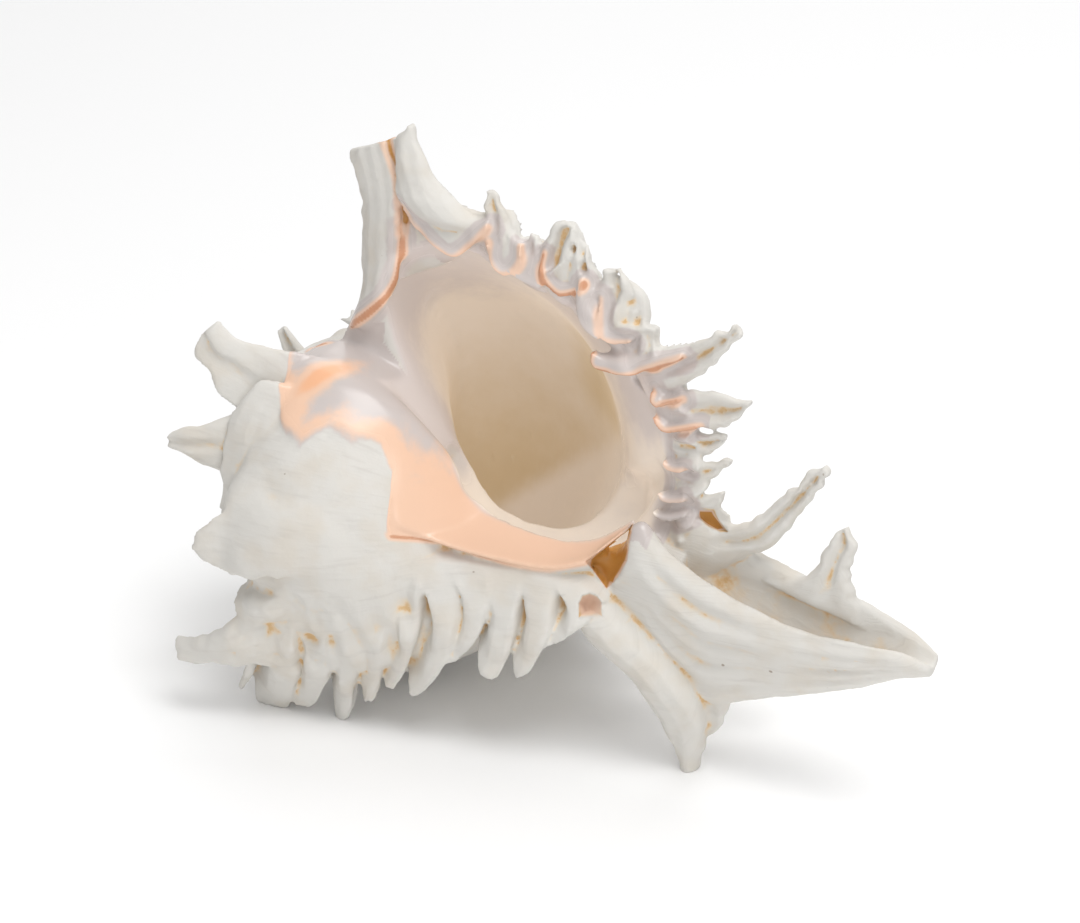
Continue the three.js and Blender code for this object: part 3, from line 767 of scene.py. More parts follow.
# Petals that droop from the lip: where each leaves it and its free rim, both as (w, z), how far it bulges
# forwards, and how pink its rim is.
PETALS = {
    "slit": ([(47.5, 60.9), (52, 62.8), (56.5, 62.6), (62, 62.2), (66.4, 62.5)],
             [(48.6, 61.2), (51.6, 57.7), (56.5, 54.2), (60, 53.5), (63.6, 56.4), (67.6, 60.7)], 1.6, 0.7),
    "second_frond": ([(66.1, 58.4), (67.9, 62.8), (70.3, 63.2), (72.9, 58.7)],
                     [(67.3, 57.7), (67.5, 54.7), (69.7, 52.1), (72.3, 52.4), (74.5, 55.3), (74.5, 58.7)],
                     1.2, 0.7),
    "top": ([(72.9, 59), (76, 59), (79, 58)], [(72.3, 52.4), (75, 51.4), (78.6, 50.6)], 0.8, 0.1),
    "third_frond": ([(78.3, 59.7), (80.4, 62.5), (83.6, 63.1), (86.4, 58.3)],
                    [(79, 57.6), (78.4, 54.9), (79.4, 51.9), (82.5, 50.1), (86.3, 51.4), (88, 53.6)],
                    -1.4, 1),
    "bulge": ([(87.5, 56), (89.4, 54.4), (90.5, 50.6)],
              [(86.9, 52.6), (86.5, 49.1), (87.6, 45.3), (90.8, 42.9)], 2.2, 0.2),
    "fourth_frond": ([(91.1, 54.3), (95.3, 54.2), (98.9, 51.9), (99.6, 47.1)],
                     [(91.2, 51), (91, 47), (91.7, 43.5), (94.4, 42.9), (97.6, 43.6)], -0.8, 0.6),
    "rolled": ([(91.2, 39.9), (95.5, 41.2), (100.7, 42.3), (109, 45)],
               [(89.6, 40.6), (89.6, 38.2), (91.3, 37), (98.1, 37.4), (101.4, 39.3), (108.5, 42.7)], 2, 1),
    "ruffle_1": ([(104, 34.5), (107.2, 34.6)],
                 [(102.3, 35.3), (102, 33.2), (103.5, 32.1), (105.7, 33.2), (108.6, 34.7)], 1.4, 0.9),
    "ruffle_2": ([(104.8, 29.4), (109.4, 30)],
                 [(102.6, 30.3), (103.5, 28.4), (105.4, 27.4), (108.4, 28.3), (112.5, 29.9)], 1.4, 0.9),
    "ruffle_3": ([(104.9, 21.8), (108.5, 21.6)],
                 [(104.7, 21.9), (105.4, 20.2), (107.1, 19.6), (109.6, 20.2)], 1.2, 0.6),
    "ruffle_4": ([(105, 14.6), (109.7, 15.7)],
                 [(104, 14.7), (104.8, 13.3), (107, 13.2), (109.7, 14)], 1.2, 0.4),
    "ruffle_5": ([(103.4, 10.4), (109.7, 12.6)],
                 [(103, 11.1), (103.4, 9.6), (106.2, 9.2), (110.4, 11.3)], 1.4, 0.1),
}
# The slit's rim, from between the two tall leaves down to the callus, as (w, y, z).
SLIT_RIM = [
    (46.5, 0, 57), (47, -0.4, 54.9), (46.7, -0.2, 50.6), (46.2, -0.8, 46.6), (44.2, -1.4, 42.3),
    (40.7, -1.9, 38.6), (35.5, -1.2, 34.2), (31, -2, 31), (29, -4, 29.5),
]
PETAL_ROOT_Y = 0.5
PETAL_RIM_Y = -2.4


def lip_line():
    """Points along the lip, the way out from the mouth at each, and the run so far."""
    line = smooth_path(LIP_LINE, 300)
    along = np.gradient(line, axis=0)
    along /= np.linalg.norm(along, axis=1)[:, None]
    return line, np.stack([-along[:, 1], along[:, 0]], 1), run_along(line)


def lip_folds(line, run):
    """At each place along the lip: how far it is from fold to petal, 0 to 1, and the edge's height there."""
    folds = np.array(FOLDS)
    fold_run = np.array([run[np.argmin(np.hypot(line[:, 0] - f[0], line[:, 1] - f[1]))] for f in folds])
    away = np.abs(run[:, None] - fold_run[None]) / folds[None, :, 3]
    nearest = np.argmin(away, axis=1)
    share = np.clip(away[np.arange(len(run)), nearest], 0, 1)
    low = np.interp(run, [0, 6, 12, 55, 70, run[-1] - 10, run[-1]], [1, 2, 5, 5, 8, 8, 3])
    height = low + np.maximum(folds[nearest, 2] - low, 0) * (1 - share) ** 1.2 * step(run, 2, 12)
    return share, height


def sheet_ring(flat, front, thick):
    """One cut across a standing sheet: its front points, then those behind them the other way round."""
    faces = [np.stack([flat[:, 0], y, flat[:, 1]], 1) for y in (front, front + thick)]
    return np.concatenate([faces[0], faces[1][::-1]])


def make_petal(name, root, rim, bulge):
    """A drooping petal from its root on the lip to its thickened free rim."""
    share = np.linspace(0, 1, 14)
    rings = []
    for a, b in zip(smooth_path(root, 48), smooth_path(rim, 48)):
        flat = a + (b - a) * share[:, None]
        front = PETAL_ROOT_Y + (PETAL_RIM_Y - PETAL_ROOT_Y) * share - bulge * np.sin(np.pi * share)
        front += 0.35 * waver(flat[0, 0] / 2, flat[0, 1] / 2, 4.4) - 0.5 * bump(share - 0.92, 0.1)
        rings.append(sheet_ring(flat, front, 2.4 - 0.5 * share))
    keep(add_loft(name, rings))


class MUREX_OT_lip(bpy.types.Operator):
    """The flared lip's ruffled sheet: petals that bulge over the mouth, folded in where the fronds rise"""

    bl_idname = "murex.lip"
    bl_label = "Lip"

    def execute(self, context):
        line, outwards, run = lip_line()
        share, height = lip_folds(line, run)
        rings = []
        for i, (place, out) in enumerate(zip(line, outwards)):
            height[i] += 1.6 * waver(run[i] / 2.0, 1.7, 0)
            fold = 1.5 * math.cos(math.pi * share[i])
            within = float(np.interp(run[i], [0, 12, 40, 60], [3, 6, 6, 9]))
            slope, curve = (float(np.interp(run[i], [30, 50], v)) for v in ((1.3, 0.85), (0.14, 0.02)))
            d = -within + (height[i] + within) * np.linspace(0, 1, 32)
            petal = step(d, 0, 5)
            wall = np.where(d < 0, -slope * d + curve * d**2, -0.3 * d * step(d, 0, 4))
            front = wall + 0.4 + fold * petal
            front += 0.9 * waver(run[i] / 2.2, 5.2, 0) * petal
            thick = np.interp(d, [-7, -4, -1, 4, 14], [5.5, 5, 4, 3.2, 1.8])
            rings.append(sheet_ring(place + d[:, None] * out, front, thick))
        keep(add_loft("lip", rings))
        for name, (root, rim, bulge, _) in PETALS.items():
            make_petal(name, root, rim, bulge)
        return {"FINISHED"}


# Canal

class MUREX_OT_canal(bpy.types.Operator):
    """The open siphonal canal with its tall front plate, and the callus's free flange"""

    bl_idname = "murex.canal"
    bl_label = "Canal and callus"

    def execute(self, context):
        rings = []
        for w, front, bottom, back, half, groove in smooth_path(CANAL, 120):
            tall = front - bottom
            edge = np.array([
                (-0.62, front - 0.2), (-0.8, front - 0.05 * tall), (-0.98, front - 0.3 * tall),
                (-0.86, front - 0.5 * tall), (-0.72, front - 0.75 * tall), (-0.4, bottom + 0.05 * tall),
                (0.0, bottom), (0.45, front - 0.75 * tall), (0.95, front - 0.35 * tall),
                (1.0, front), (0.95, back - 0.5), (0.72, back), (0.5, back - 0.8),
                (0.42, front - 0.2 * groove),
                (0.2, front - 0.8 * groove), (-0.02, front - groove), (-0.25, front - 0.75 * groove),
                (-0.46, front - 0.15 * groove),
            ])
            section = smooth_path(edge, 100, closed=True)
            ridge = 0.08 * np.cos(2 * np.pi * (section[:, 1] - front) / (0.2 * tall))
            ridge *= section[:, 0] < -0.6
            y = CANAL_Y + (section[:, 0] + ridge * np.sin(w / 9.0 + 1.0)) * half
            rings.append(np.stack([np.full(len(y), w), y, section[:, 1]], 1))
        keep(add_loft("canal", rings))
        turn = np.radians(np.arange(0, 360, 15))
        rings = []
        for a, b in zip(*two_paths(FLANGE, 60)):
            across = 0.5 - 0.5 * np.cos(turn)
            sag = 0.8 * np.sin(np.pi * across)
            half = np.where(np.sin(turn) > 0, 0.6, 4.5 * (1 - across) ** 0.7 + 0.5)
            half *= np.abs(np.sin(turn)) ** 0.6
            ring = a + across[:, None] * (b - a)
            ring[:, 2] += np.sign(np.sin(turn)) * half - sag
            rings.append(ring)
        keep(add_loft("flange", rings))
        return {"FINISHED"}


# Finish

GROWTH_LINE_RADIUS = 30  # where degrees of growth are turned into millimetres
RIM_POINTS = 40
FOLD_BLUR = 14  # times, which sets how wide a fold counts as one
EDGE_BLUR = 6
ORANGE_W = 37  # middle of the orange patch on the callus
AT_ONCE = 20000  # vertices measured in one go, to keep the arrays small


def linear(code):
    """Linear colour of an sRGB hex value."""
    channels = [int(code[i:i + 2], 16) / 255 for i in (0, 2, 4)]
    return [c / 12.92 if c <= 0.04045 else ((c + 0.055) / 1.055) ** 2.4 for c in channels] + [1.0]


def add_node(tree, kind, inputs, output, **values):
    """Adds a node, sets its properties, sets or links its inputs, and gives the named output back."""
    node = tree.nodes.new(kind)
    for key, value in values.items():
        setattr(node, key, value)
    for socket, value in inputs.items():
        if isinstance(value, bpy.types.NodeSocket):
            tree.links.new(value, node.inputs[socket])
        else:
            node.inputs[socket].default_value = value
    return node.outputs[output]


def edge_ends(mesh):
    """The two vertices of every edge."""
    edges = np.empty(len(mesh.edges) * 2, int)
    mesh.edges.foreach_get("vertices", edges)
    return edges.reshape(-1, 2).T


def blur(mesh, values, times):
    """A value of every vertex, averaged with its neighbours' so many times."""
    a, b = edge_ends(mesh)
    count = np.bincount(np.concatenate([a, b]), minlength=len(values))
    for _ in range(times):
        total = np.bincount(a, values[b], len(values)) + np.bincount(b, values[a], len(values))
        values = 0.4 * values + 0.6 * total / count
    return values


def cavities(mesh, places, normals):
    """How deep each vertex lies in a fold, in millimetres: its distance below the smoothed surface."""
    smooth = np.stack([blur(mesh, axis, FOLD_BLUR) for axis in places.T], 1)
    return np.sum((smooth - places) * normals, axis=1)


def inside_share(w, radius, back):
    """How surely a vertex lies on the hollow's wall, 0 to 1."""
    share = np.zeros(len(w))
    for degrees in hollow_steps(-MOUTH_REACH):
        half_step = 0.5 if degrees < MOUTH_ANGLE else 2
        here = np.where(np.abs((back - degrees + 180) % 360 - 180) <= half_step)[0]
        grown = scale_at(max(0, degrees))
        section = hollow_section(mouth_share(degrees)) * grown
        a, b = section, np.roll(section, -1, axis=0)
        point = np.stack([w[here], radius[here]], 1)[:, None]
        span = b - a
        t = np.clip(np.sum((point - a) * span, -1) / np.sum(span**2, -1), 0, 1)
        gap = np.min(np.linalg.norm(point - a - t[..., None] * span, axis=-1), axis=1)
        share[here] = np.maximum(share[here], 1 - step(gap, 0.5, 1.3))
    return share


def pit_share(places):
    """How far into a pit each vertex lies, 0 to 1."""
    share = np.zeros(len(places))
    for mouth, depth, stain in PITS.values():
        ring = np.array(mouth, float)
        along = (places[:, 1] - ring[0, 1]) / PIT_WAY[1]
        flat = (places - along[:, None] * PIT_WAY)[:, [0, 2]]
        turns, inset = np.zeros(len(places)), np.full(len(places), FAR)
        for a, b in zip(ring[:, [0, 2]], np.roll(ring, -1, axis=0)[:, [0, 2]]):
            p, q = a - flat, b - flat
            turns += np.arctan2(p[:, 0] * q[:, 1] - p[:, 1] * q[:, 0], np.sum(p * q, axis=1))
            t = np.clip(-np.sum(p * (b - a), axis=1) / np.sum((b - a) ** 2), 0, 1)
            inset = np.minimum(inset, np.linalg.norm(p + t[:, None] * (b - a), axis=1))
        within = (np.abs(turns) > 5) * step(inset, 0.1, 0.5) * (along > 0) * (along < depth + 2)
        share = np.maximum(share, within * (0.35 + 0.55 * stain))
    return share


def rim_distance(places, near):
    """How far each vertex near the lip is from a rim of a petal or the slit, and how pink that rim is."""
    rims = [
        [(w, PETAL_RIM_Y, z) for w, z in smooth_path(rim, RIM_POINTS)] for _, rim, _, _ in PETALS.values()]
    points = np.concatenate(rims + [smooth_path(SLIT_RIM, RIM_POINTS)])
    pinks = np.repeat([petal[3] for petal in PETALS.values()] + [1], RIM_POINTS)
    tree = kdtree.KDTree(len(points))
    for i, point in enumerate(points):
        tree.insert(point, i)
    tree.balance()
    distance, pink = np.full(len(places), FAR), np.zeros(len(places))
    for i in near:
        _, index, distance[i] = tree.find(places[i])
        pink[i] = pinks[index]
    return distance, pink


def lip_distance(w, z, near):
    """How far outside the lip's line each vertex near it lies."""
    line, outwards, _ = lip_line()
    out = np.full(len(w), FAR)
    for part in np.array_split(near, 1 + len(near) // AT_ONCE):
        flat = np.stack([w[part], z[part]], 1)
        nearest = np.argmin(np.linalg.norm(flat[:, None] - line[None], axis=2), axis=1)
        beside = (nearest > 0) & (nearest < len(line) - 1)
        out[part] = np.where(beside, np.sum((flat - line[nearest]) * outwards[nearest], axis=1), FAR)
    return out


def shell_places(mesh):
    """Every vertex in the shell's frame, in millimetres."""
    places = np.empty(len(mesh.vertices) * 3)
    mesh.vertices.foreach_get("co", places)
    return places.reshape(-1, 3) / MM - APEX


def lip_foot(w, y, z):
    """How surely a place lies on the lip's inner wall beside the canal, 0 to 1."""
    return between(w, 90, 94, 103, 105) * between(z, 4, 8, 18, 26) * between(y, 0, 1.5, 12, 16)


def finishes(mesh):
    """Where each finish lies, as one number for every vertex. The limits are places on the shell in
    millimetres, and degrees of growth."""
    places = shell_places(mesh)
    w, y, z = places.T
    radius, back = np.hypot(y, z), np.degrees(np.arctan2(y, z)) % 360
    inside = inside_share(w, radius, back)
    scooped = between(w, 54, 60, 101, 105) * (1 - step(radius, 12, 17)) * step(y, -8, -5.5)
    scooped = np.maximum(scooped * step(z, -5, -2), lip_foot(w, y, z))
    inside = blur(mesh, np.maximum(inside, scooped), EDGE_BLUR)
    # The hollow's wall darkens towards deep tan the farther back it lies: partly the wall's own colour,
    # partly painted shade where little light reaches.
    depth = np.where(back > 300, 0, np.minimum(back, 200)) / 120
    depth += (step(y, 4, 30) * 0.8 - depth) * (1 - step(radius, 14, 24))
    # Painted shade: the right side of the hollow's wall is darkened further.
    depth += 0.4 * step(w, 62, 74) * step(z, 8, 16) * step(y, 14, 26)
    pale_floor = step(0.76 * w - 52 - z, -3, 5)
    grey_top = step(z, 24, 40) * (1 - step(w, 50, 72))
    depth += (0.24 - depth) * np.maximum(0.85 * pale_floor, scooped)
    depth *= inside * (1 - 0.6 * grey_top)

    near = np.flatnonzero((y > -10) & (y < 14) & (w > 26) & (w < 114) & (z > 4))
    out = lip_distance(w, z, near)
    by_rim, pink = rim_distance(places, near)
    # Rims: a pink tint with a dark core, partly the rim's own rust and partly a painted shadow line under
    # the rim.
    margin = bump(np.maximum(by_rim - 0.4, 0), 0.9) * pink
    normals = np.empty(len(w) * 3)
    mesh.vertices.foreach_get("normal", normals)
    normals = normals.reshape(-1, 3)
    forwards = step(-normals[:, 1], -0.6, 0.1)
    within = np.maximum((1 - step(out, 0.5, 2.5)) * (out > -12), 1 - step(by_rim, 1.5, 4.5))
    within = within * (y < 12) * forwards
    slit = smooth_path([place[::2] for place in LEAVES["slit_leaf_behind"][1]], 60)
    seam = np.zeros(len(w))
    near = np.flatnonzero((y > -8) & (y < 9) & (w > 36) & (w < 54) & (z > 30))
    by_slit = np.min(np.hypot(w[near, None] - slit[:, 0], z[near, None] - slit[:, 1]), axis=1)
    seam[near] = bump(by_slit, 1 + 0.35 * np.clip(y[near] + 1, 0, 5))
    seam *= step(z, 52, 56) * forwards

    flange_w, flange_z = np.array([f[1] for f in FLANGE])[:, [0, 2]].T
    over = z - np.interp(w, flange_w, flange_z)
    below = step(-over, 0.7, 1.5) * step(w, 55, 57) * (y < 3)
    edge_w, edge_back = np.array(CALLUS_EDGE).T
    into = back - np.interp(w, edge_w, edge_back) + 14 * step(w, 56, 59)
    callus = step(into, -7, 7) * step(w, 26.5, 31) * (w < 106)
    callus *= (radius < 62 * scale_at(back)) & (back > 240)
    callus = np.maximum(callus * (1 - below), within)
    low_band = bump(over - 4, 8) * between(w, 46, 56, 98, 104) * (y < 5)
    low_band *= 1 - step(w, 92, 97) * step(z, 11, 14)
    rim = bump(into - 5, 7) * (w < 56)
    by_patch = back - 333 - 2.2 * (w - ORANGE_W)
    patch = bump(w - ORANGE_W, 6) * bump(by_patch, 11) * (back > 300)
    peach = np.clip(low_band + 0.75 * rim + patch, 0, 1) * callus
    # Painted shadow: a thin dark line just under the flange's free edge, fading through peach.
    flange_edge_shadow = bump(over + 1.1, 0.8) * step(w, 56, 58) * (1 - 0.6 * step(w, 72, 96)) * (w < 98) * (y < -8)
    margin = np.maximum(margin, flange_edge_shadow)
    deep = bump(w - ORANGE_W, 4) * bump(by_patch, 6.5) * (back > 300) * callus
    hollow = cavities(mesh, places, normals) * (1 - inside) * (1 + 0.4 * (np.abs(out) < 20))
    return {
        "inside": inside, "depth": depth, "callus": callus, "peach": peach, "deep": deep, "margin": margin,
        "slit": seam, "pit": np.maximum(pit_share(places), seam * step(y, -0.8, 0.6)),
        "crevice": step(hollow, 0.1, 0.5), "edge": step(-hollow, 0.15, 0.8),
        "growth": np.radians(back) * GROWTH_LINE_RADIUS, "row": w / scale_at(back),
    }


def add_group(shell, name, weights):
    """A vertex group with its weights rounded to tenths."""
    group = shell.vertex_groups.new(name=name)
    tenths = np.round(np.asarray(weights) * 10)
    for level in range(1, 11):
        group.add(np.flatnonzero(tenths == level).tolist(), level / 10, "REPLACE")


def weather(shell, marks):
    """Wears the chalk into shallow dents, deepest below the shoulder in front."""
    w, y, z = shell_places(shell.data).T
    worn = between(w, 25, 30, 44, 56) * between(z, -36, -30, -12, -6) * (y < -12)
    bare = (1 - marks["inside"]) * (1 - marks["callus"])
    add_group(shell, "bare", bare * (0.2 + 0.8 * worn))
    dents = bpy.data.textures.new("dents", "CLOUDS")
    dents.noise_scale = settings().dent_size
    dents.noise_depth = 2
    apply_modifier(shell, "DISPLACE", texture=dents, texture_coords="LOCAL", strength=settings().dent_depth,
                   vertex_group="bare")


def thin_out(shell, marks):
    """Thins the mesh to the set number of triangles, least where one finish meets another."""
    mesh = shell.data
    a, b = edge_ends(mesh)
    change = np.zeros(len(mesh.vertices))
    for name in ("inside", "callus", "margin", "slit", "pit", "deep"):
        step_over = np.abs(marks[name][a] - marks[name][b])
        np.maximum.at(change, a, step_over)
        np.maximum.at(change, b, step_over)
    add_group(shell, "detail", 0.9 * (change > 0.08))
    mesh.calc_loop_triangles()
    apply_modifier(shell, "DECIMATE", ratio=min(1, settings().faces / len(mesh.loop_triangles)),
                   vertex_group="detail", invert_vertex_group=True, vertex_group_factor=1)


def shell_material():
    """Aragonite shell: a chalky white outside with worn growth lines, glossy peach and lilac glaze round the
    mouth, petal rims with a dark line that is partly painted shadow, a tan wall deep inside that darkens
    farther in partly as painted shade and glows faintly as painted light, and ochre left in the folds."""
    s = settings()
    material = bpy.data.materials.new("aragonite_shell")
    material.use_nodes = True
    material.cycles.emission_sampling = "NONE"
    tree = material.node_tree

    def combine(operation, *values):
        return add_node(tree, "ShaderNodeMath", dict(enumerate(values)), 0, operation=operation)

    place = add_node(tree, "ShaderNodeTexCoord", {}, "Object")
    share = {
        name: add_node(tree, "ShaderNodeAttribute", {}, "Fac", attribute_name=name)
        for name in (
            "inside", "depth", "callus", "peach", "deep", "margin", "slit", "pit", "crevice", "edge",
            "growth", "row")}
    # Noises, by the size of their patches in millimetres, detail and roughness.
    noises = {
        name: add_node(tree, "ShaderNodeTexNoise", {
            "Vector": place, "Scale": 1 / (size * MM), "Detail": detail, "Roughness": rough}, "Fac")
        for name, size, detail, rough in (
            ("cloud", 9, 3, 0.5), ("fine", 1.4, 4, 0.6), ("dots", 2.6, 1, 0.5), ("wander", 6, 4, 0.6))}
    spread = add_node(tree, "ShaderNodeCombineXYZ", {"X": share["growth"], "Y": share["row"]}, "Vector")
    # Growth lines are noise drawn out along the lip's old edges.
    drawn = add_node(tree, "ShaderNodeMapping", {"Vector": spread, "Scale": (0.8, 0.07, 1)}, "Vector")
    noises["growth_lines"] = add_node(
        tree, "ShaderNodeTexNoise", {"Vector": drawn, "Scale": 1, "Detail": 3}, "Fac")
    wander = combine("ADD", noises["wander"], -0.5)
    # Shares with an uneven edge, and how much noise is added to each.
    uneven = {
        name: combine("MULTIPLY_ADD", wander, amount, share[name])
        for name, amount in (("peach", 0.9), ("deep", 0.5), ("callus", 1.0), ("depth", 0.2))}
    crevice = combine("MULTIPLY", share["crevice"], noises["fine"])
    stained_slit = combine("MULTIPLY", share["slit"], share["crevice"])
    # Each coat: its own ground colour, then layers over it as colour, mask, from, to, and strength.
    coats = {
        "chalk": (s.chalk, [
            (s.chalk_warm, noises["cloud"], 0.42, 0.72, 0.5),
            (s.chalk_grey, noises["growth_lines"], 0.5, 0.75, 0.22),
            (s.speck, noises["dots"], 0.795, 0.82, 0.7),
            (s.crevice_pale, crevice, 0.0, 0.5, 0.8), (s.ochre, crevice, 0.26, 0.6, 0.6),
            (s.chalk, share["edge"], 0.0, 1.0, 0.6)]),
        "glaze": (s.glaze, [
            (s.peach, uneven["peach"], 0.18, 0.72, 1.0), (s.deep, uneven["deep"], 0.3, 0.9, 0.9)]),
        # The wall darkens towards deep tan with depth, partly as painted shade.
        "wall": (s.glaze, [
            (s.tan, uneven["depth"], 0.03, 0.26, 1.0), (s.deep_tan_and_shade, uneven["depth"], 0.35, 0.95, 1.0)]),
    }
    skins = {}
    coats["skin"] = ("chalk", [
        ("glaze", uneven["callus"], 0.35, 0.65, 1.0), ("wall", share["inside"], 0.0, 1.0, 1.0),
        # Rims: peach tint, then a dark core that is partly their own rust and partly a painted shadow line.
        (s.peach, share["margin"], 0.12, 0.7, 0.85), (s.rust_and_rim_shadow, share["margin"], 0.72, 1.0, 0.7),
        (s.peach, share["slit"], 0.3, 1.0, 0.8), (s.ochre, stained_slit, 0.25, 0.8, 0.85),
        (s.pit_pale, share["pit"], 0.05, 0.35, 1.0), (s.pit, share["pit"], 0.4, 0.75, 1.0)])
    for name, (ground, layers) in coats.items():
        skin = skins[ground] if ground in skins else linear(ground)
        for colour, mask, low, high, strength in layers:
            amount = add_node(tree, "ShaderNodeMapRange", {
                "Value": mask, "From Min": low, "From Max": high, "To Max": strength}, "Result",
                interpolation_type="SMOOTHSTEP")
            over = skins[colour] if colour in skins else linear(colour)
            skin = add_node(tree, "ShaderNodeMix", {0: amount, 6: skin, 7: over}, 2, data_type="RGBA")
        skins[name] = skin
    glossy = combine("MAXIMUM", share["callus"], share["inside"])
    roughness, strength, painted_glow = [
        add_node(tree, "ShaderNodeMapRange", {"Value": value, "To Min": low, "To Max": high}, "Result")
        for value, low, high in ((glossy, 0.7, 0.24), (glossy, 0.4, 0.05), (share["inside"], 0.0, 0.2))]
    grain = combine("MULTIPLY_ADD", noises["fine"], 0.8, noises["growth_lines"])
    relief = add_node(tree, "ShaderNodeBump", {
        "Height": grain, "Strength": strength, "Distance": 0.25 * MM}, "Normal")
    shader = tree.nodes["Principled BSDF"]
    # Painted light: the hollow's wall glows faintly, standing in for light that comes through the thin wall
    # into the hollow.
    for socket, value in {
        "Base Color": skins["skin"], "Roughness": roughness, "Normal": relief,
        "Emission Color": skins["skin"], "Emission Strength": painted_glow,
    }.items():
        tree.links.new(value, shader.inputs[socket])
    return material


SMOOTHING = 4  # times over the whole shell
SOFTENING = 160  # times where forms run together


def soften(shell):
    """Smooths the glazed walls round the mouth and the ridge behind the knob, where forms run together."""
    w, y, z = shell_places(shell.data).T
    radius, back = np.hypot(y, z), (np.degrees(np.arctan2(y, z)) + 70) % 360
    glazed = between(back, 0, 12, 74, 80) * between(w, 36, 39, 62, 70) * step(z, 4, 8)
    glazed *= 1 - step(radius, 38, 42)
    floor = between(w, 58, 64, 99, 103) * (1 - step(radius, 20, 26)) * step(y, -5.5, -2) * step(z, -6, -3)
    corner = between(w, 45, 47, 56, 60) * between(z, 38, 42, 53, 56) * between(y, -0.8, 0.4, 14, 20)
    ridge = between(w, 24, 29, 52, 60) * between(z, -14, -10, 8, 12) * (y < -18)
    ridge *= 0.3 + 0.7 * step(z, -5, 2)
    add_group(shell, "soft", np.max([glazed, floor, corner, ridge, lip_foot(w, y, z)], axis=0))
    apply_modifier(shell, "SMOOTH", factor=0.5, iterations=SOFTENING, vertex_group="soft")


def rest_on_floor(shell):
    """Flattens what would stand below the floor."""
    places = np.empty(len(shell.data.vertices) * 3)
    shell.data.vertices.foreach_get("co", places)
    places = places.reshape(-1, 3)
    places[:, 2] = np.maximum(places[:, 2], 0)
    shell.data.vertices.foreach_set("co", places.ravel())
    shell.data.update()


class MUREX_OT_shell(bpy.types.Operator):
    """Fuses every form into the one shell, smooths it and gives it its finish"""

    bl_idname = "murex.shell"
    bl_label = "Shell"

    def execute(self, context):
        forms = [o for o in bpy.data.objects if "murex_form" in o]
        deselect()
        for form in forms:
            form.select_set(True)
        shell = next(o for o in forms if o.name == "whorls")
        bpy.context.view_layer.objects.active = shell
        bpy.ops.object.join()
        shell.name = "murex_shell"
        shell.data.name = "murex_shell"
        apply_modifier(shell, "REMESH", mode="VOXEL", voxel_size=settings().voxel)
        cut(shell, make_hollow(CLEAR_FROM))
        for name, (mouth, depth, _) in PITS.items():
            ring = np.array(mouth, float)
            middle = ring.mean(axis=0)
            cut(shell, add_loft(name, [
                middle + (ring - middle) * size + PIT_WAY * along
                for size, along in ((1, -PIT_LEAD), (1, 0), (0.85, 0.6 * depth), (0.5, depth))]))
        apply_modifier(shell, "SMOOTH", factor=0.5, iterations=SMOOTHING)
        soften(shell)
        marks = finishes(shell.data)
        weather(shell, marks)
        thin_out(shell, marks)
        rest_on_floor(shell)
        activate(shell)
        bpy.ops.object.shade_smooth()
        for name, values in finishes(shell.data).items():
            layer = shell.data.attributes.new(name, "FLOAT", "POINT")
            layer.data.foreach_set("value", np.asarray(values, np.float32))
        shell.data.materials.clear()
        shell.data.materials.append(shell_material())
        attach(shell, "root")
        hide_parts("shell")
        return {"FINISHED"}


# Stage

FLOOR_SIZE = 6
WORLD_LIGHT = 0.47
LOOK_AT = np.array([77.2, 0, 14])  # the middle of the view, in the shell's frame
# Lamps: place from the middle of the view and size in metres, and watts.
LAMPS = {
    "softbox": ((0.25, -0.15, 0.65), 0.4, 2.9),
    "fill": ((0.55, -0.6, 0.3), 0.45, 1.2),
    "sweep": ((-0.2, 0.75, 0.9), 1.2, 6.0),
}


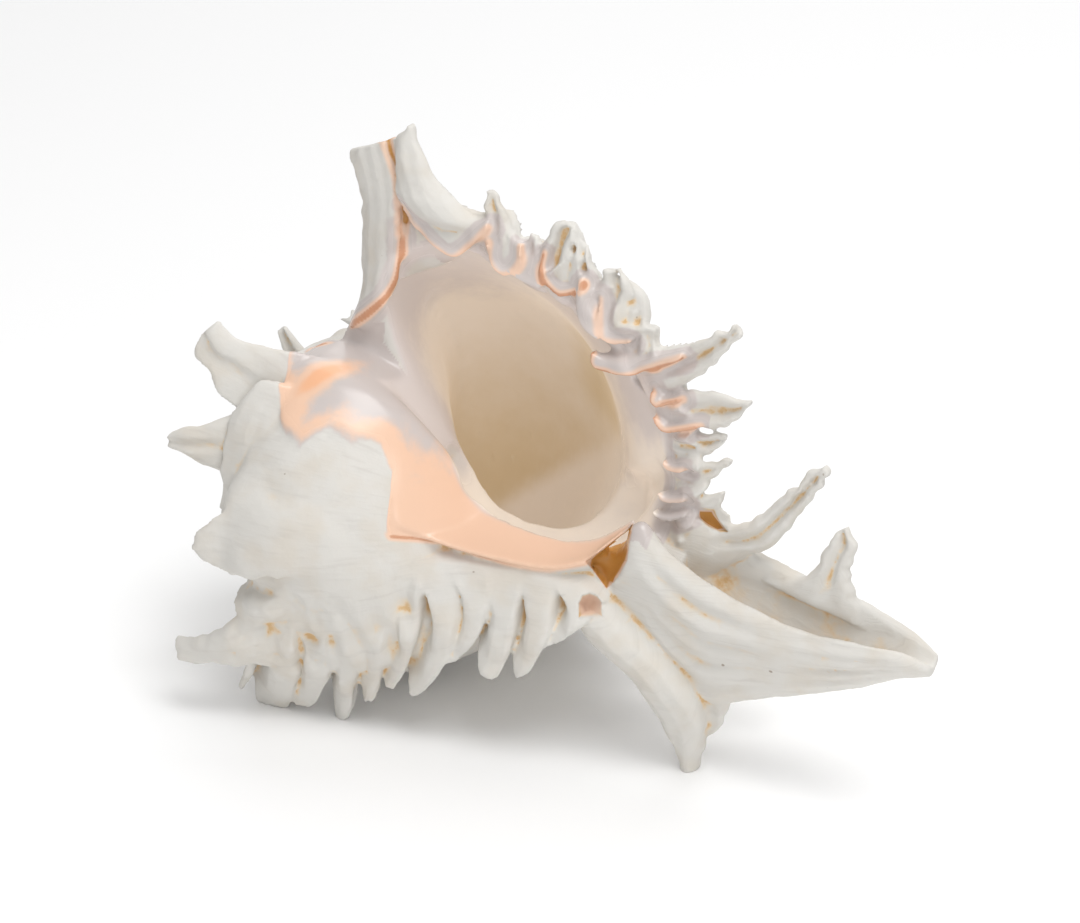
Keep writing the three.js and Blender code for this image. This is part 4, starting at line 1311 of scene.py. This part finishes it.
class MUREX_OT_stage(bpy.types.Operator):
    """Pale floor, soft light and the camera"""

    bl_idname = "murex.stage"
    bl_label = "Stage"

    def execute(self, context):
        s = context.scene.murex_stage
        deselect()
        bpy.ops.mesh.primitive_plane_add(size=FLOOR_SIZE)
        floor = context.object
        floor.name = "floor"
        material = bpy.data.materials.new("matt_paper_sweep")
        material.use_nodes = True
        paper = material.node_tree.nodes["Principled BSDF"]
        paper.inputs["Base Color"].default_value = linear(s.floor)
        paper.inputs["Roughness"].default_value = 0.9
        floor.data.materials.append(material)

        context.scene.view_settings.view_transform = "Standard"
        world = bpy.data.worlds.new("studio")
        world.use_nodes = True
        context.scene.world = world
        sky = world.node_tree.nodes["Background"].inputs
        sky["Color"].default_value = (1, 1, 1, 1)
        sky["Strength"].default_value = WORLD_LIGHT

        target = Vector((APEX + LOOK_AT) * MM)
        back = Vector((
            math.sin(s.azimuth) * math.cos(s.elevation),
            -math.cos(s.azimuth) * math.cos(s.elevation),
            math.sin(s.elevation),
        ))
        for name, (place, size, power) in LAMPS.items():
            light = bpy.data.lights.new(name, "AREA")
            light.size = size
            light.energy = power
            lamp = bpy.data.objects.new(name, light)
            lamp.location = target + Vector(place)
            lamp.rotation_euler = (target - lamp.location).to_track_quat("-Z", "Y").to_euler()
            context.scene.collection.objects.link(lamp)

        camera = bpy.data.cameras.new("camera")
        camera.sensor_fit = "HORIZONTAL"
        camera.lens = s.lens
        camera.clip_start = 0.01
        eye = bpy.data.objects.new("camera", camera)
        eye.location = target + back * s.distance
        eye.rotation_euler = (-back).to_track_quat("-Z", "Y").to_euler()
        context.scene.collection.objects.link(eye)
        context.scene.camera = eye
        return {"FINISHED"}


class MUREX_PT_panel(bpy.types.Panel):
    """Steps of the shell in order"""

    bl_idname = "MUREX_PT_panel"
    bl_label = "Murex shell"
    bl_space_type = "VIEW_3D"
    bl_region_type = "UI"
    bl_category = "Murex"

    def draw(self, context):
        for name in STEPS:
            self.layout.operator("murex." + name)


STEPS = ("whorls", "fronds", "lip", "canal", "shell", "stage")
CLASSES = (
    ShellSettings, StageSettings, MUREX_OT_whorls, MUREX_OT_fronds, MUREX_OT_lip, MUREX_OT_canal,
    MUREX_OT_shell, MUREX_OT_stage, MUREX_PT_panel,
)


def register():
    for cls in CLASSES:
        bpy.utils.register_class(cls)
    bpy.types.Scene.murex_shell = PointerProperty(type=ShellSettings)
    bpy.types.Scene.murex_stage = PointerProperty(type=StageSettings)


def unregister():
    del bpy.types.Scene.murex_shell
    del bpy.types.Scene.murex_stage
    for cls in reversed(CLASSES):
        bpy.utils.unregister_class(cls)


def main():
    register()
    for name in STEPS:
        getattr(bpy.ops.murex, name)()


if __name__ == "__main__":
    main()
